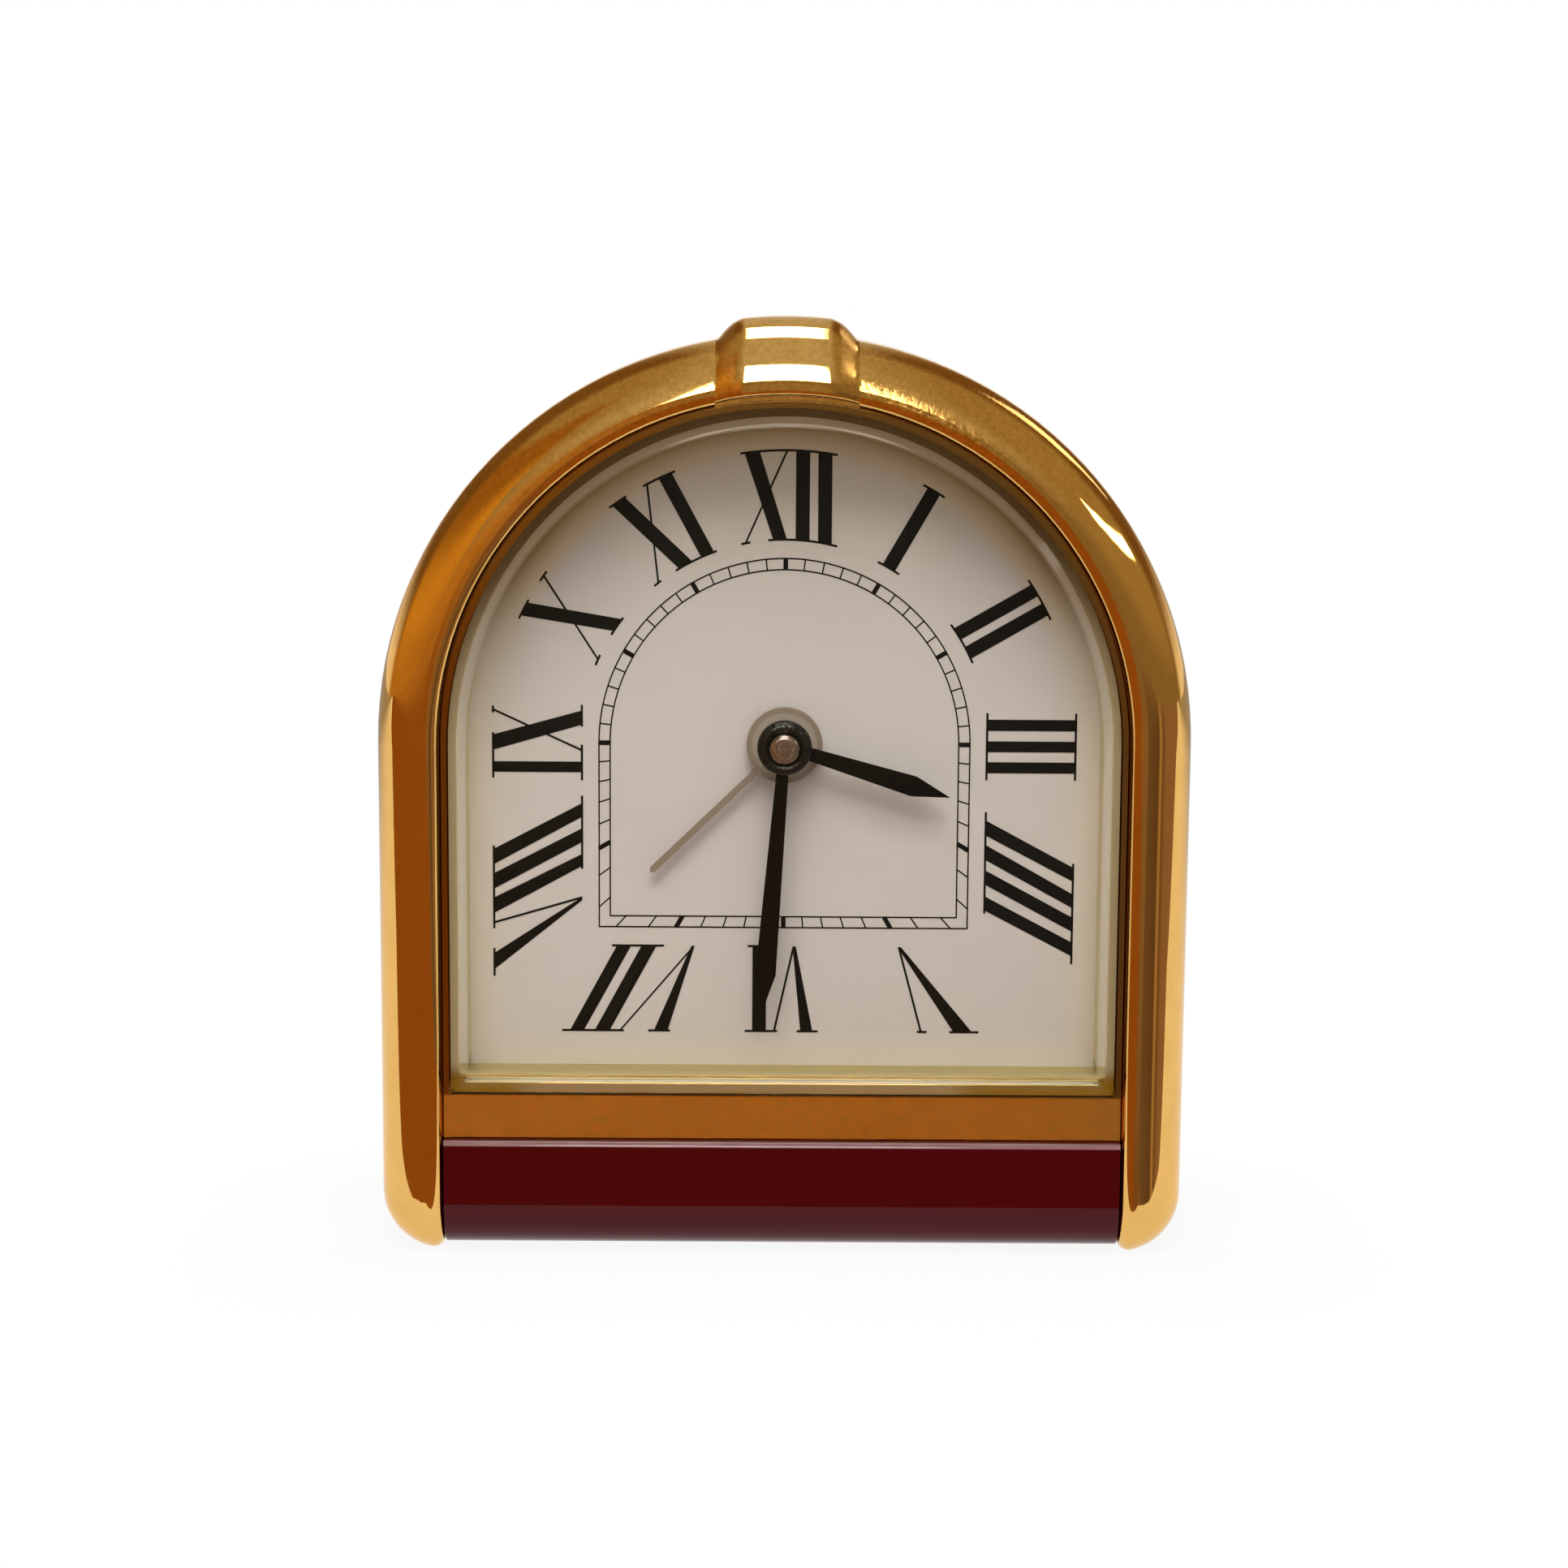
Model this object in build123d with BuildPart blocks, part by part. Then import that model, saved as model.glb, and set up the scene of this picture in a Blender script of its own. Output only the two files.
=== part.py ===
from build123d import *
import math
import os

os.makedirs("parts", exist_ok=True)

# An arch-topped alarm desk clock. Sizes are millimetres, X runs to the right of the dial, Y to the
# back and Z up. A depth is counted backwards from the crest of the frame's rounded front.

# Case frame, an arch on two legs
CASE_WIDTH = 72.0
SIDE_HEIGHT = 46.0
RIM_WIDTH = 5.7
RIM_DEPTH = 3.6
WALL = 4.0
COVER_LEDGE = 2.6
FOOT_RADIUS = 5.6
FOOT_FLAT = 0.25
FRONT_ROUND = 4.2
RIM_ROUND = 1.1
BACK_ROUND = 1.6

# Clearances of pieces set into each other, of shafts that turn, of pressed pieces and of the button
SEAT_CLEARANCE = 0.1
RUN_CLEARANCE = 0.05
PRESS_CLEARANCE = 0.01
SLIDE_CLEARANCE = 0.1
OVERCUT = 1.0

# Lacquered base bar and the rod that carries it between the legs
BAR_LIFT = 0.25
BAR_HEIGHT = 10.35
BAR_SETBACK = 0.45
BAR_ROUND = 4.4
BAR_EDGE_ROUND = 0.6
ROD_RADIUS = 1.0
ROD_HEIGHT = 5.5
ROD_DEPTH = 9.0
ROD_IN_LEG = 3.0

# Inner bezel with its sill, crystal, gasket and the ring between crystal and dial
BEZEL_SETBACK = 1.2
BEZEL_LIP = 0.5
BEZEL_FLANGE = 0.6
SILL_HEIGHT = 3.9
SHELF_WIDTH = 1.2
CRYSTAL_SETBACK = 0.9
CRYSTAL_THICKNESS = 2.2
CRYSTAL_BEVEL_WIDTH = 1.5
CRYSTAL_BEVEL_DEPTH = 0.8
CRYSTAL_EDGE_ROUND = 0.6
GASKET_THICKNESS = 0.3
DIAL_RING_DEPTH = 3.8
DIAL_RING_STEP = 0.2

# Dial and hands, with the angles of the hands counted clockwise from twelve
DIAL_THICKNESS = 0.5
DIAL_HOLE_CLEARANCE = 0.4
PIVOT_DROP = 0.5
HAND_THICKNESS = 0.3
HUB_THICKNESS = 0.5
HAND_GAP = 0.6
MINUTE_LENGTH = 24.0
MINUTE_ANGLE = 184.4
HOUR_LENGTH = 15.5
HOUR_ANGLE = 107.0
BLADE_ROOT = 1.0
BLADE_WIDTH = 1.85
BLADE_TIP = 3.4
ALARM_LENGTH = 16.7
ALARM_ANGLE = 226.0
ALARM_BLADE = 0.6
MINUTE_HUB_RADIUS = 2.45
HOUR_HUB_RADIUS = 2.3
ALARM_HUB_RADIUS = 3.4
NUT_RADIUS = 1.35
NUT_HEIGHT = 1.0
NUT_CAP = 0.4

# Movement plates, pillars and screws
PLATE_THICKNESS = 1.0
REAR_PLATE_THICKNESS = 0.8
REAR_PLATE_HALF_WIDTH = 24.5
REAR_PLATE_CELL_GAP = 0.8
REAR_PLATE_FLOOR_GAP = 3.3
PLATE_CORNER = 2.5
PILLAR_RADIUS = 1.4
PILLAR_INSET = 2.5
SCREW_SHANK = 0.5
SCREW_HEAD = 1.0
SCREW_HEAD_HEIGHT = 0.4
SCREW_REACH = 2.5
SCREW_SLOT = 0.3
HOLDER_WALL = 2.7

# Coaxial arbors and pipes at the dial's centre
ARBOR_RADIUS = 0.8
ARBOR_PIVOT = 0.5
PIPE_WALL = 0.5
TRAIN_ARBOR = 0.5
TRAIN_PIVOT = 0.35
END_SHAKE = 0.05

# Gears, each on its own layer behind the front plate
GEAR_THICKNESS = 0.5
LAYER_GAP = 0.2
LAYERS = 6
PRESSURE_ANGLE = 20.0
ADDENDUM = 0.8
DEDENDUM = 1.2
BACKLASH = 0.4
MOTION_SPACING = 9.0
CANNON_TEETH = 12
MINUTE_WHEEL_TEETH = 36
MINUTE_PINION_TEETH = 10
HOUR_WHEEL_TEETH = 40
ALARM_MODULE = 0.36
ALARM_PINION_TEETH = 20
ALARM_WHEEL_TEETH = 40
CENTRE_MODULE = 0.35
CENTRE_WHEEL_TEETH = 36
THIRD_PINION_TEETH = 12
THIRD_MODULE = 0.25
THIRD_WHEEL_TEETH = 40
SECOND_PINION_TEETH = 8
SECOND_MODULE = 0.2
SECOND_WHEEL_TEETH = 48
ROTOR_PINION_TEETH = 8

# Directions from one gear's centre to the next, counted from +X towards +Z
TO_MINUTE_WHEEL = 0.0
TO_ALARM_ARBOR = 180.0
TO_THIRD_WHEEL = 270.0
TO_SECOND_WHEEL = 210.0
TO_ROTOR = 180.0

# Stepping motor
ROTOR_RADIUS = 2.0
ROTOR_AIR_GAP = 0.3
ROTOR_HEIGHT = 1.8
STATOR_THICKNESS = 1.6
STATOR_YOKE = 4.4
STATOR_TOP = 4.0
STATOR_WAIST = 3.4
STATOR_FOOT = 2.6
STATOR_SHOULDER = 3.4
STATOR_BRIDGE = 0.8
STATOR_LEG = 4.2
COIL_LENGTH = 12.8
COIL_CHEEK = 0.6
COIL_CORE = 0.8
COIL_RADIUS = 1.75

# Circuit
BOARD_WIDTH = 9.5
BOARD_HEIGHT = 12.5
BOARD_THICKNESS = 0.6
BOARD_X = 10.75
BOARD_DROP = 15.25
CHIP_RADIUS = 2.0
CHIP_HEIGHT = 0.6
CHIP_OFFSET = 2.6
CAN_RADIUS = 1.0
CAN_LENGTH = 6.0
BUZZER_RADIUS = 9.0
BUZZER_THICKNESS = 0.35
BUZZER_DROP = 15.0

# Button cell, its contacts and its bayonet hatch
BATTERY_RADIUS = 5.8
BATTERY_HEIGHT = 5.4
BATTERY_EDGE_ROUND = 0.2
BATTERY_RISE = 14.6
CONTACT_THICKNESS = 0.2
CONTACT_RADIUS = 4.5
CUP_CLEARANCE = 0.15
CUP_WALL = 0.7
CUP_HEIGHT = 2.5
CLIP_THICKNESS = 0.25
CLIP_WIDTH = 3.0
CLIP_GAP = 0.35
BATTERY_PLAY = 0.1
HATCH_RADIUS = 7.6
HATCH_FLANGE = 0.5
HATCH_PLUG = 6.6
HATCH_SKIRT = 0.6
HATCH_GASKET = 0.2
LUG_HEIGHT = 0.4
LUG_ARC = 30.0
LUG_TURN = 60.0
LUG_ARC_CLEARANCE = 2.0
COIN_SLOT_WIDTH = 1.2
COIN_SLOT_LENGTH = 9.0
COIN_SLOT_DEPTH = 0.45

# Back cover, knobs and strut
COVER_THICKNESS = 1.2
BACK_SPACE = 0.7
COVER_SCREW_HEIGHT = 20.0
COVER_SCREW_ANGLE = 50.0
COVER_SCREW_HEAD = 0.6
KNOB_RADIUS = 4.0
KNOB_HEIGHT = 1.5
KNOB_GAP = 0.3
KNOB_FLOOR = 0.4
KNOB_FLUTES = 20
KNOB_FLUTE_DEPTH = 0.3
ARBOR_HOLE_CLEARANCE = 0.3
HINGE_RADIUS = 1.1
HINGE_KNOB_GAP = 2.0
HINGE_GAP = 0.2
HINGE_PIN = 0.6
BARREL_WIDTH = 18.0
LUG_WIDTH = 3.0
LUG_CLEARANCE = 0.15
STRUT_THICKNESS = 1.4
STRUT_TOP_WIDTH = 28.0
STRUT_FOOT_WIDTH = 34.0
STRUT_SHOULDER = 2.2
STRUT_FOOT_HEIGHT = 4.0
STRUT_CORNER = 5.0
FINGER_NOTCH = 4.0

# Alarm button, a saddle over the apex that slides down on its stem
BUTTON_WIDTH = 12.3
BUTTON_RISE = 1.5
BUTTON_PROUD = 0.5
BUTTON_THICKNESS = 2.9
BUTTON_BACK = 13.0
BUTTON_TRAVEL = 0.6
BUTTON_SHOULDER = 4.7
BUTTON_HEEL = 2.0
BUTTON_FLARE = 2.4
BUTTON_TOP_LEAN = 45
BUTTON_FRONT_LEAN = 15
APRON_THICKNESS = 1.25
APRON_ROUND = 0.6
APRON_CLEARANCE = 0.25
STOP_CLEARANCE = 0.1
STEM_RADIUS = 0.9
STEM_DEPTH = 11.2
STEM_LENGTH = 6.3
SPRING_THICKNESS = 0.25
SPRING_WIDTH = 3.0
SPRING_ARM = 6.5
SPRING_FOOT_GAP = 1.45
SPRING_OVERHANG = 2.0

# Half widths of the nested arches, and the floors they stand on
case_half = CASE_WIDTH / 2
opening_half = case_half - RIM_WIDTH
cavity_half = case_half - WALL
cover_seat_half = cavity_half + COVER_LEDGE
inner_half = cavity_half - SEAT_CLEARANCE
lip_half = opening_half - SEAT_CLEARANCE - BEZEL_LIP
shelf_half = lip_half - SHELF_WIDTH
bar_top = BAR_LIFT + BAR_HEIGHT
cavity_floor = bar_top + SEAT_CLEARANCE
inner_floor = cavity_floor + SEAT_CLEARANCE
sill_top = cavity_floor + SILL_HEIGHT
shelf_floor = sill_top + SHELF_WIDTH
arch_top = SIDE_HEIGHT + case_half

# Depths of the stack from the crystal to the back cover
shelf_front = CRYSTAL_SETBACK + CRYSTAL_THICKNESS + GASKET_THICKNESS
bezel_back = RIM_DEPTH + BEZEL_FLANGE
dial_front = bezel_back + DIAL_RING_DEPTH
plate_front = dial_front + DIAL_THICKNESS
plate_back = plate_front + PLATE_THICKNESS
layer_step = GEAR_THICKNESS + LAYER_GAP
rear_plate_front = plate_back + LAYER_GAP + LAYERS * layer_step
rear_plate_back = rear_plate_front + REAR_PLATE_THICKNESS
cover_front = rear_plate_back + BACK_SPACE
case_depth = cover_front + COVER_THICKNESS
hinge_depth = case_depth + HINGE_GAP + HINGE_RADIUS
knob_front = case_depth + KNOB_GAP
knob_back = knob_front + KNOB_HEIGHT
centre_depth = (hinge_depth + HINGE_RADIUS - BUTTON_PROUD) / 2

# Depths of the hands, each at the back of its hub
alarm_hand_back = dial_front - HAND_GAP
hour_hand_back = alarm_hand_back - HAND_THICKNESS - HAND_GAP
minute_hand_back = hour_hand_back - HAND_THICKNESS - HAND_GAP
nut_back = minute_hand_back - HUB_THICKNESS

# Radii of the nested pipes
hour_bore = ARBOR_RADIUS + RUN_CLEARANCE
hour_pipe = hour_bore + PIPE_WALL
alarm_bore = hour_pipe + RUN_CLEARANCE
alarm_pipe = alarm_bore + PIPE_WALL


def polar(start, distance, angle):
    """Returns the point at a distance and a direction from a start point."""
    turn = math.radians(angle)
    return (start[0] + distance * math.cos(turn), start[1] + distance * math.sin(turn))


def centres(module, teeth_a, teeth_b):
    """Returns the distance between the centres of two gears that mesh."""
    return module * (teeth_a + teeth_b) / 2


# Centres of the gears and of the button cell, as (x, z)
pivot = (0.0, SIDE_HEIGHT - PIVOT_DROP)
minute_wheel_at = polar(pivot, MOTION_SPACING, TO_MINUTE_WHEEL)
alarm_arbor_at = polar(pivot, centres(ALARM_MODULE, ALARM_PINION_TEETH, ALARM_WHEEL_TEETH), TO_ALARM_ARBOR)
third_at = polar(pivot, centres(CENTRE_MODULE, CENTRE_WHEEL_TEETH, THIRD_PINION_TEETH), TO_THIRD_WHEEL)
second_at = polar(third_at, centres(THIRD_MODULE, THIRD_WHEEL_TEETH, SECOND_PINION_TEETH), TO_SECOND_WHEEL)
rotor_at = polar(second_at, centres(SECOND_MODULE, SECOND_WHEEL_TEETH, ROTOR_PINION_TEETH), TO_ROTOR)
battery_at = (pivot[0], pivot[1] + BATTERY_RISE)
cannon_module = 2 * MOTION_SPACING / (CANNON_TEETH + MINUTE_WHEEL_TEETH)
hour_module = 2 * MOTION_SPACING / (MINUTE_PINION_TEETH + HOUR_WHEEL_TEETH)
train_at = [third_at, second_at, rotor_at]

pillar_x = REAR_PLATE_HALF_WIDTH - PILLAR_INSET
rear_plate_low = inner_floor + HOLDER_WALL + REAR_PLATE_FLOOR_GAP
rear_plate_high = battery_at[1] - BATTERY_RADIUS - REAR_PLATE_CELL_GAP
pillar_low = rear_plate_low + PILLAR_INSET
pillar_high = rear_plate_high - PILLAR_INSET
pillars_at = [(x, z) for x in (-pillar_x, pillar_x) for z in (pillar_low, pillar_high)]
hinge_height = pivot[1] - KNOB_RADIUS - HINGE_RADIUS - HINGE_KNOB_GAP

cover_screw_half = cavity_half + COVER_LEDGE / 2
cover_screws_at = [(side * cover_screw_half, COVER_SCREW_HEIGHT) for side in (-1, 1)] + [
    polar((0, SIDE_HEIGHT), cover_screw_half, 90 + side * COVER_SCREW_ANGLE) for side in (-1, 1)
]


def y_at(depth):
    """Returns the Y of a depth counted from the frame's front crest."""
    return depth - centre_depth


def at_depth(depth):
    """Returns the plane at a depth, facing the front, with X to the right and Z up."""
    return Plane.XZ.offset(-y_at(depth))


def layer_back(number):
    """Returns the depth of the back face of a gear layer, counted from 1 behind the front plate."""
    return plate_back + number * layer_step


def arch(half_width, floor_z):
    """Returns a face with straight sides on a flat floor and a half circle on top."""
    with BuildSketch() as face:
        with BuildLine():
            Polyline(
                (half_width, SIDE_HEIGHT),
                (half_width, floor_z),
                (-half_width, floor_z),
                (-half_width, SIDE_HEIGHT),
            )
            CenterArc((0, SIDE_HEIGHT), half_width, 0, 180)
        make_face()
    return face.sketch


def gear(teeth, module, tooth_at):
    """Returns a gear face whose straight-flanked teeth follow the pressure angle at the pitch circle.
    One tooth points in the direction tooth_at."""
    pitch = module * teeth / 2
    tip = pitch + ADDENDUM * module
    root = pitch - DEDENDUM * module
    flank = math.tan(math.radians(PRESSURE_ANGLE))
    half_pitch_tooth = (math.pi / 2 - BACKLASH) * module / 2
    half_tip = (half_pitch_tooth - ADDENDUM * module * flank) / tip
    half_root = (half_pitch_tooth + DEDENDUM * module * flank) / root
    points = []
    for tooth in range(teeth):
        middle = math.radians(tooth_at + 360 * tooth / teeth)
        for radius, turn in ((root, -half_root), (tip, -half_tip), (tip, half_tip), (root, half_root)):
            points.append((radius * math.cos(middle + turn), radius * math.sin(middle + turn)))
    with BuildSketch() as face:
        with BuildLine():
            Polyline(*points, close=True)
        make_face()
    return face.sketch


def blade(length, root_width, width, tip):
    """Returns a hand's face that points to twelve, widens outwards and ends in a point."""
    with BuildSketch() as face:
        with BuildLine():
            Polyline(
                (-root_width / 2, 0),
                (root_width / 2, 0),
                (width / 2, length - tip),
                (0, length),
                (-width / 2, length - tip),
                close=True,
            )
        make_face()
    return face.sketch


def fluted_disc(radius, flutes, depth):
    """Returns a round face with trapezoid flutes cut into its rim for the fingers."""
    points = []
    for step in range(4 * flutes):
        reach = radius if step % 4 < 2 else radius - depth
        turn = math.pi * step / (2 * flutes)
        points.append((reach * math.cos(turn), reach * math.sin(turn)))
    with BuildSketch() as face:
        with BuildLine():
            Polyline(*points, close=True)
        make_face()
    return face.sketch


# Case frame: one casting, rounded over its front, open between the legs and wider behind the rim. The
# rounded feet are ground to a narrow flat.
notch_half = BUTTON_WIDTH / 2 + SLIDE_CLEARANCE
button_top = arch_top + BUTTON_RISE
button_under = button_top - BUTTON_THICKNESS
notch_floor = button_under - BUTTON_TRAVEL - STOP_CLEARANCE
apron_back = APRON_THICKNESS - BUTTON_PROUD
with BuildPart() as case_frame:
    with BuildSketch(at_depth(case_depth)) as frame_outline:
        add(arch(case_half, -FOOT_FLAT))
        fillet(frame_outline.vertices().group_by(Axis.Y)[0], FOOT_RADIUS)
    extrude(amount=case_depth)
    fillet(case_frame.faces().sort_by(Axis.Y)[0].edges(), FRONT_ROUND)
    fillet(case_frame.faces().sort_by(Axis.Y)[-1].edges(), BACK_ROUND)
    with BuildSketch(at_depth(case_depth + OVERCUT)):
        add(arch(opening_half, -FOOT_FLAT - OVERCUT))
    extrude(amount=case_depth + 2 * OVERCUT, mode=Mode.SUBTRACT)
    rim_edges = case_frame.edges(Select.LAST).filter_by(Axis.Y, reverse=True)
    fillet(rim_edges.filter_by(lambda edge: edge.center().Y < y_at(FRONT_ROUND)), RIM_ROUND)
    with BuildSketch(Plane.XY):
        with Locations((0, y_at(case_depth / 2))):
            Rectangle(CASE_WIDTH + OVERCUT, case_depth + OVERCUT)
    extrude(amount=-OVERCUT, mode=Mode.SUBTRACT)
    with BuildSketch(at_depth(case_depth)):
        add(arch(cavity_half, cavity_floor))
    extrude(amount=case_depth - RIM_DEPTH, mode=Mode.SUBTRACT)
    with BuildSketch(at_depth(case_depth)):
        add(arch(cover_seat_half, cavity_floor))
    extrude(amount=COVER_THICKNESS, mode=Mode.SUBTRACT)
    with BuildSketch(Plane.YZ):
        with BuildLine():
            Polyline(
                (y_at(-OVERCUT), SIDE_HEIGHT + opening_half - OVERCUT),
                (y_at(apron_back + SLIDE_CLEARANCE), SIDE_HEIGHT + opening_half - OVERCUT),
                (y_at(apron_back + SLIDE_CLEARANCE), notch_floor),
                (y_at(BUTTON_BACK + SLIDE_CLEARANCE), notch_floor),
                (y_at(BUTTON_BACK + SLIDE_CLEARANCE), button_top),
                (y_at(-OVERCUT), button_top),
                close=True,
            )
        make_face()
    extrude(amount=notch_half, both=True, mode=Mode.SUBTRACT)
    with BuildSketch(Plane.XY.offset(notch_floor)):
        with Locations((0, y_at(STEM_DEPTH))):
            Circle(STEM_RADIUS + RUN_CLEARANCE)
    extrude(amount=-WALL, mode=Mode.SUBTRACT)
    with BuildSketch(Plane.YZ):
        with Locations((y_at(ROD_DEPTH), ROD_HEIGHT)):
            Circle(ROD_RADIUS + PRESS_CLEARANCE)
    extrude(amount=opening_half + ROD_IN_LEG, both=True, mode=Mode.SUBTRACT)
    with BuildSketch(at_depth(cover_front)):
        with Locations(*cover_screws_at):
            Circle(SCREW_SHANK + PRESS_CLEARANCE)
    extrude(amount=SCREW_REACH, mode=Mode.SUBTRACT)
case_frame.part.label = "case_frame"
export_step(case_frame.part, "parts/case_frame.step")

# Base bar: lacquered block with a deep round along its lower front edge.
bar_half = opening_half - SEAT_CLEARANCE
with BuildPart() as base_bar:
    with BuildSketch(Plane.YZ) as bar_section:
        with BuildLine():
            Polyline(
                (y_at(BAR_SETBACK), BAR_LIFT),
                (y_at(case_depth), BAR_LIFT),
                (y_at(case_depth), bar_top),
                (y_at(BAR_SETBACK), bar_top),
                close=True,
            )
        make_face()
        fillet(bar_section.vertices().sort_by(Axis.X)[:2].sort_by(Axis.Y)[0], BAR_ROUND)
        fillet(bar_section.vertices().group_by(Axis.Y)[-1], BAR_EDGE_ROUND)
        fillet(bar_section.vertices().group_by(Axis.Y)[0].sort_by(Axis.X)[-1], BACK_ROUND)
        with Locations((y_at(ROD_DEPTH), ROD_HEIGHT)):
            Circle(ROD_RADIUS + PRESS_CLEARANCE, mode=Mode.SUBTRACT)
    extrude(amount=bar_half, both=True)
base_bar.part.label = "base_bar"
export_step(base_bar.part, "parts/base_bar.step")

with BuildPart() as base_bar_rod:
    with BuildSketch(Plane.YZ):
        with Locations((y_at(ROD_DEPTH), ROD_HEIGHT)):
            Circle(ROD_RADIUS)
    extrude(amount=opening_half + ROD_IN_LEG - SEAT_CLEARANCE, both=True)
base_bar_rod.part.label = "base_bar_rod"
export_step(base_bar_rod.part, "parts/base_bar_rod.step")

# Inner bezel: a lip that shows as a fine line round the crystal, the flat sill below it, a shelf
# behind the crystal and a flange behind the frame's rim.
with BuildPart() as inner_bezel:
    with BuildSketch(at_depth(RIM_DEPTH)):
        add(arch(opening_half - SEAT_CLEARANCE, cavity_floor))
    extrude(amount=RIM_DEPTH - BEZEL_SETBACK)
    with BuildSketch(at_depth(bezel_back)):
        add(arch(inner_half, inner_floor))
    extrude(amount=BEZEL_FLANGE)
    with BuildSketch(at_depth(shelf_front)):
        add(arch(lip_half, sill_top))
    extrude(amount=shelf_front, mode=Mode.SUBTRACT)
    with BuildSketch(at_depth(bezel_back)):
        add(arch(shelf_half, shelf_floor))
    extrude(amount=bezel_back, mode=Mode.SUBTRACT)
inner_bezel.part.label = "inner_bezel"
export_step(inner_bezel.part, "parts/inner_bezel.step")

with BuildPart() as crystal:
    with BuildSketch(at_depth(CRYSTAL_SETBACK + CRYSTAL_THICKNESS)):
        add(arch(lip_half - SEAT_CLEARANCE, sill_top + SEAT_CLEARANCE))
    extrude(amount=CRYSTAL_THICKNESS)
    window_face = crystal.faces().sort_by(Axis.Y)[0]
    chamfer(window_face.edges(), CRYSTAL_BEVEL_WIDTH, CRYSTAL_BEVEL_DEPTH, reference=window_face)
    fillet(crystal.faces().sort_by(Axis.Y)[0].edges(), CRYSTAL_EDGE_ROUND)
crystal.part.label = "crystal"
export_step(crystal.part, "parts/crystal.step")

with BuildPart() as crystal_gasket:
    with BuildSketch(at_depth(shelf_front)):
        add(arch(lip_half - SEAT_CLEARANCE, sill_top + SEAT_CLEARANCE))
        add(arch(shelf_half, shelf_floor), mode=Mode.SUBTRACT)
    extrude(amount=GASKET_THICKNESS)
crystal_gasket.part.label = "crystal_gasket"
export_step(crystal_gasket.part, "parts/crystal_gasket.step")

with BuildPart() as dial_ring:
    with BuildSketch(at_depth(dial_front)):
        add(arch(inner_half, inner_floor))
        add(arch(shelf_half - DIAL_RING_STEP, shelf_floor + DIAL_RING_STEP), mode=Mode.SUBTRACT)
    extrude(amount=DIAL_RING_DEPTH)
dial_ring.part.label = "dial_ring"
export_step(dial_ring.part, "parts/dial_ring.step")

with BuildPart() as dial:
    with BuildSketch(at_depth(plate_front)):
        add(arch(inner_half, inner_floor))
        with Locations(pivot):
            Circle(alarm_pipe + DIAL_HOLE_CLEARANCE, mode=Mode.SUBTRACT)
    extrude(amount=DIAL_THICKNESS)
dial.part.label = "dial"
export_step(dial.part, "parts/dial.step")

# Hands: stamped blades with raised hubs, pressed on the arbor and the two pipes.
with BuildPart() as minute_hand:
    with BuildSketch(at_depth(minute_hand_back)):
        with Locations(Location((*pivot, 0), (0, 0, -MINUTE_ANGLE))):
            add(blade(MINUTE_LENGTH, BLADE_ROOT, BLADE_WIDTH, BLADE_TIP))
    extrude(amount=HAND_THICKNESS)
    with BuildSketch(at_depth(minute_hand_back)):
        with Locations(pivot):
            Circle(MINUTE_HUB_RADIUS)
    extrude(amount=HUB_THICKNESS)
    fillet(minute_hand.faces().sort_by(Axis.Y)[0].edges(), HAND_THICKNESS / 2)
    with BuildSketch(at_depth(minute_hand_back)):
        with Locations(pivot):
            Circle(ARBOR_RADIUS + PRESS_CLEARANCE)
    extrude(amount=HUB_THICKNESS, mode=Mode.SUBTRACT)
minute_hand.part.label = "minute_hand"
export_step(minute_hand.part, "parts/minute_hand.step")

with BuildPart() as hour_hand:
    with BuildSketch(at_depth(hour_hand_back)):
        with Locations(Location((*pivot, 0), (0, 0, -HOUR_ANGLE))):
            add(blade(HOUR_LENGTH, BLADE_ROOT, BLADE_WIDTH, BLADE_TIP))
    extrude(amount=HAND_THICKNESS)
    with BuildSketch(at_depth(hour_hand_back)):
        with Locations(pivot):
            Circle(HOUR_HUB_RADIUS)
    extrude(amount=HUB_THICKNESS)
    with BuildSketch(at_depth(hour_hand_back)):
        with Locations(pivot):
            Circle(hour_pipe + PRESS_CLEARANCE)
    extrude(amount=HUB_THICKNESS, mode=Mode.SUBTRACT)
hour_hand.part.label = "hour_hand"
export_step(hour_hand.part, "parts/hour_hand.step")

with BuildPart() as alarm_hand:
    with BuildSketch(at_depth(alarm_hand_back)):
        with Locations(Location((*pivot, 0), (0, 0, -ALARM_ANGLE))):
            add(blade(ALARM_LENGTH, ALARM_BLADE, ALARM_BLADE, ALARM_BLADE / 2))
    extrude(amount=HAND_THICKNESS)
    with BuildSketch(at_depth(alarm_hand_back)):
        with Locations(pivot):
            Circle(ALARM_HUB_RADIUS)
    extrude(amount=HUB_THICKNESS)
    with BuildSketch(at_depth(alarm_hand_back)):
        with Locations(pivot):
            Circle(alarm_pipe + PRESS_CLEARANCE)
    extrude(amount=HUB_THICKNESS, mode=Mode.SUBTRACT)
alarm_hand.part.label = "alarm_hand"
export_step(alarm_hand.part, "parts/alarm_hand.step")

# Hand nut: a closed domed cap on the end of the minute arbor.
with BuildPart() as hand_nut:
    with BuildSketch(at_depth(nut_back)):
        with Locations(pivot):
            Circle(NUT_RADIUS)
    extrude(amount=NUT_HEIGHT)
    fillet(hand_nut.faces().sort_by(Axis.Y)[0].edges(), NUT_CAP)
    with BuildSketch(at_depth(nut_back)):
        with Locations(pivot):
            Circle(ARBOR_RADIUS + PRESS_CLEARANCE)
    extrude(amount=NUT_HEIGHT - NUT_CAP, mode=Mode.SUBTRACT)
hand_nut.part.label = "hand_nut"
export_step(hand_nut.part, "parts/hand_nut.step")

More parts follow.
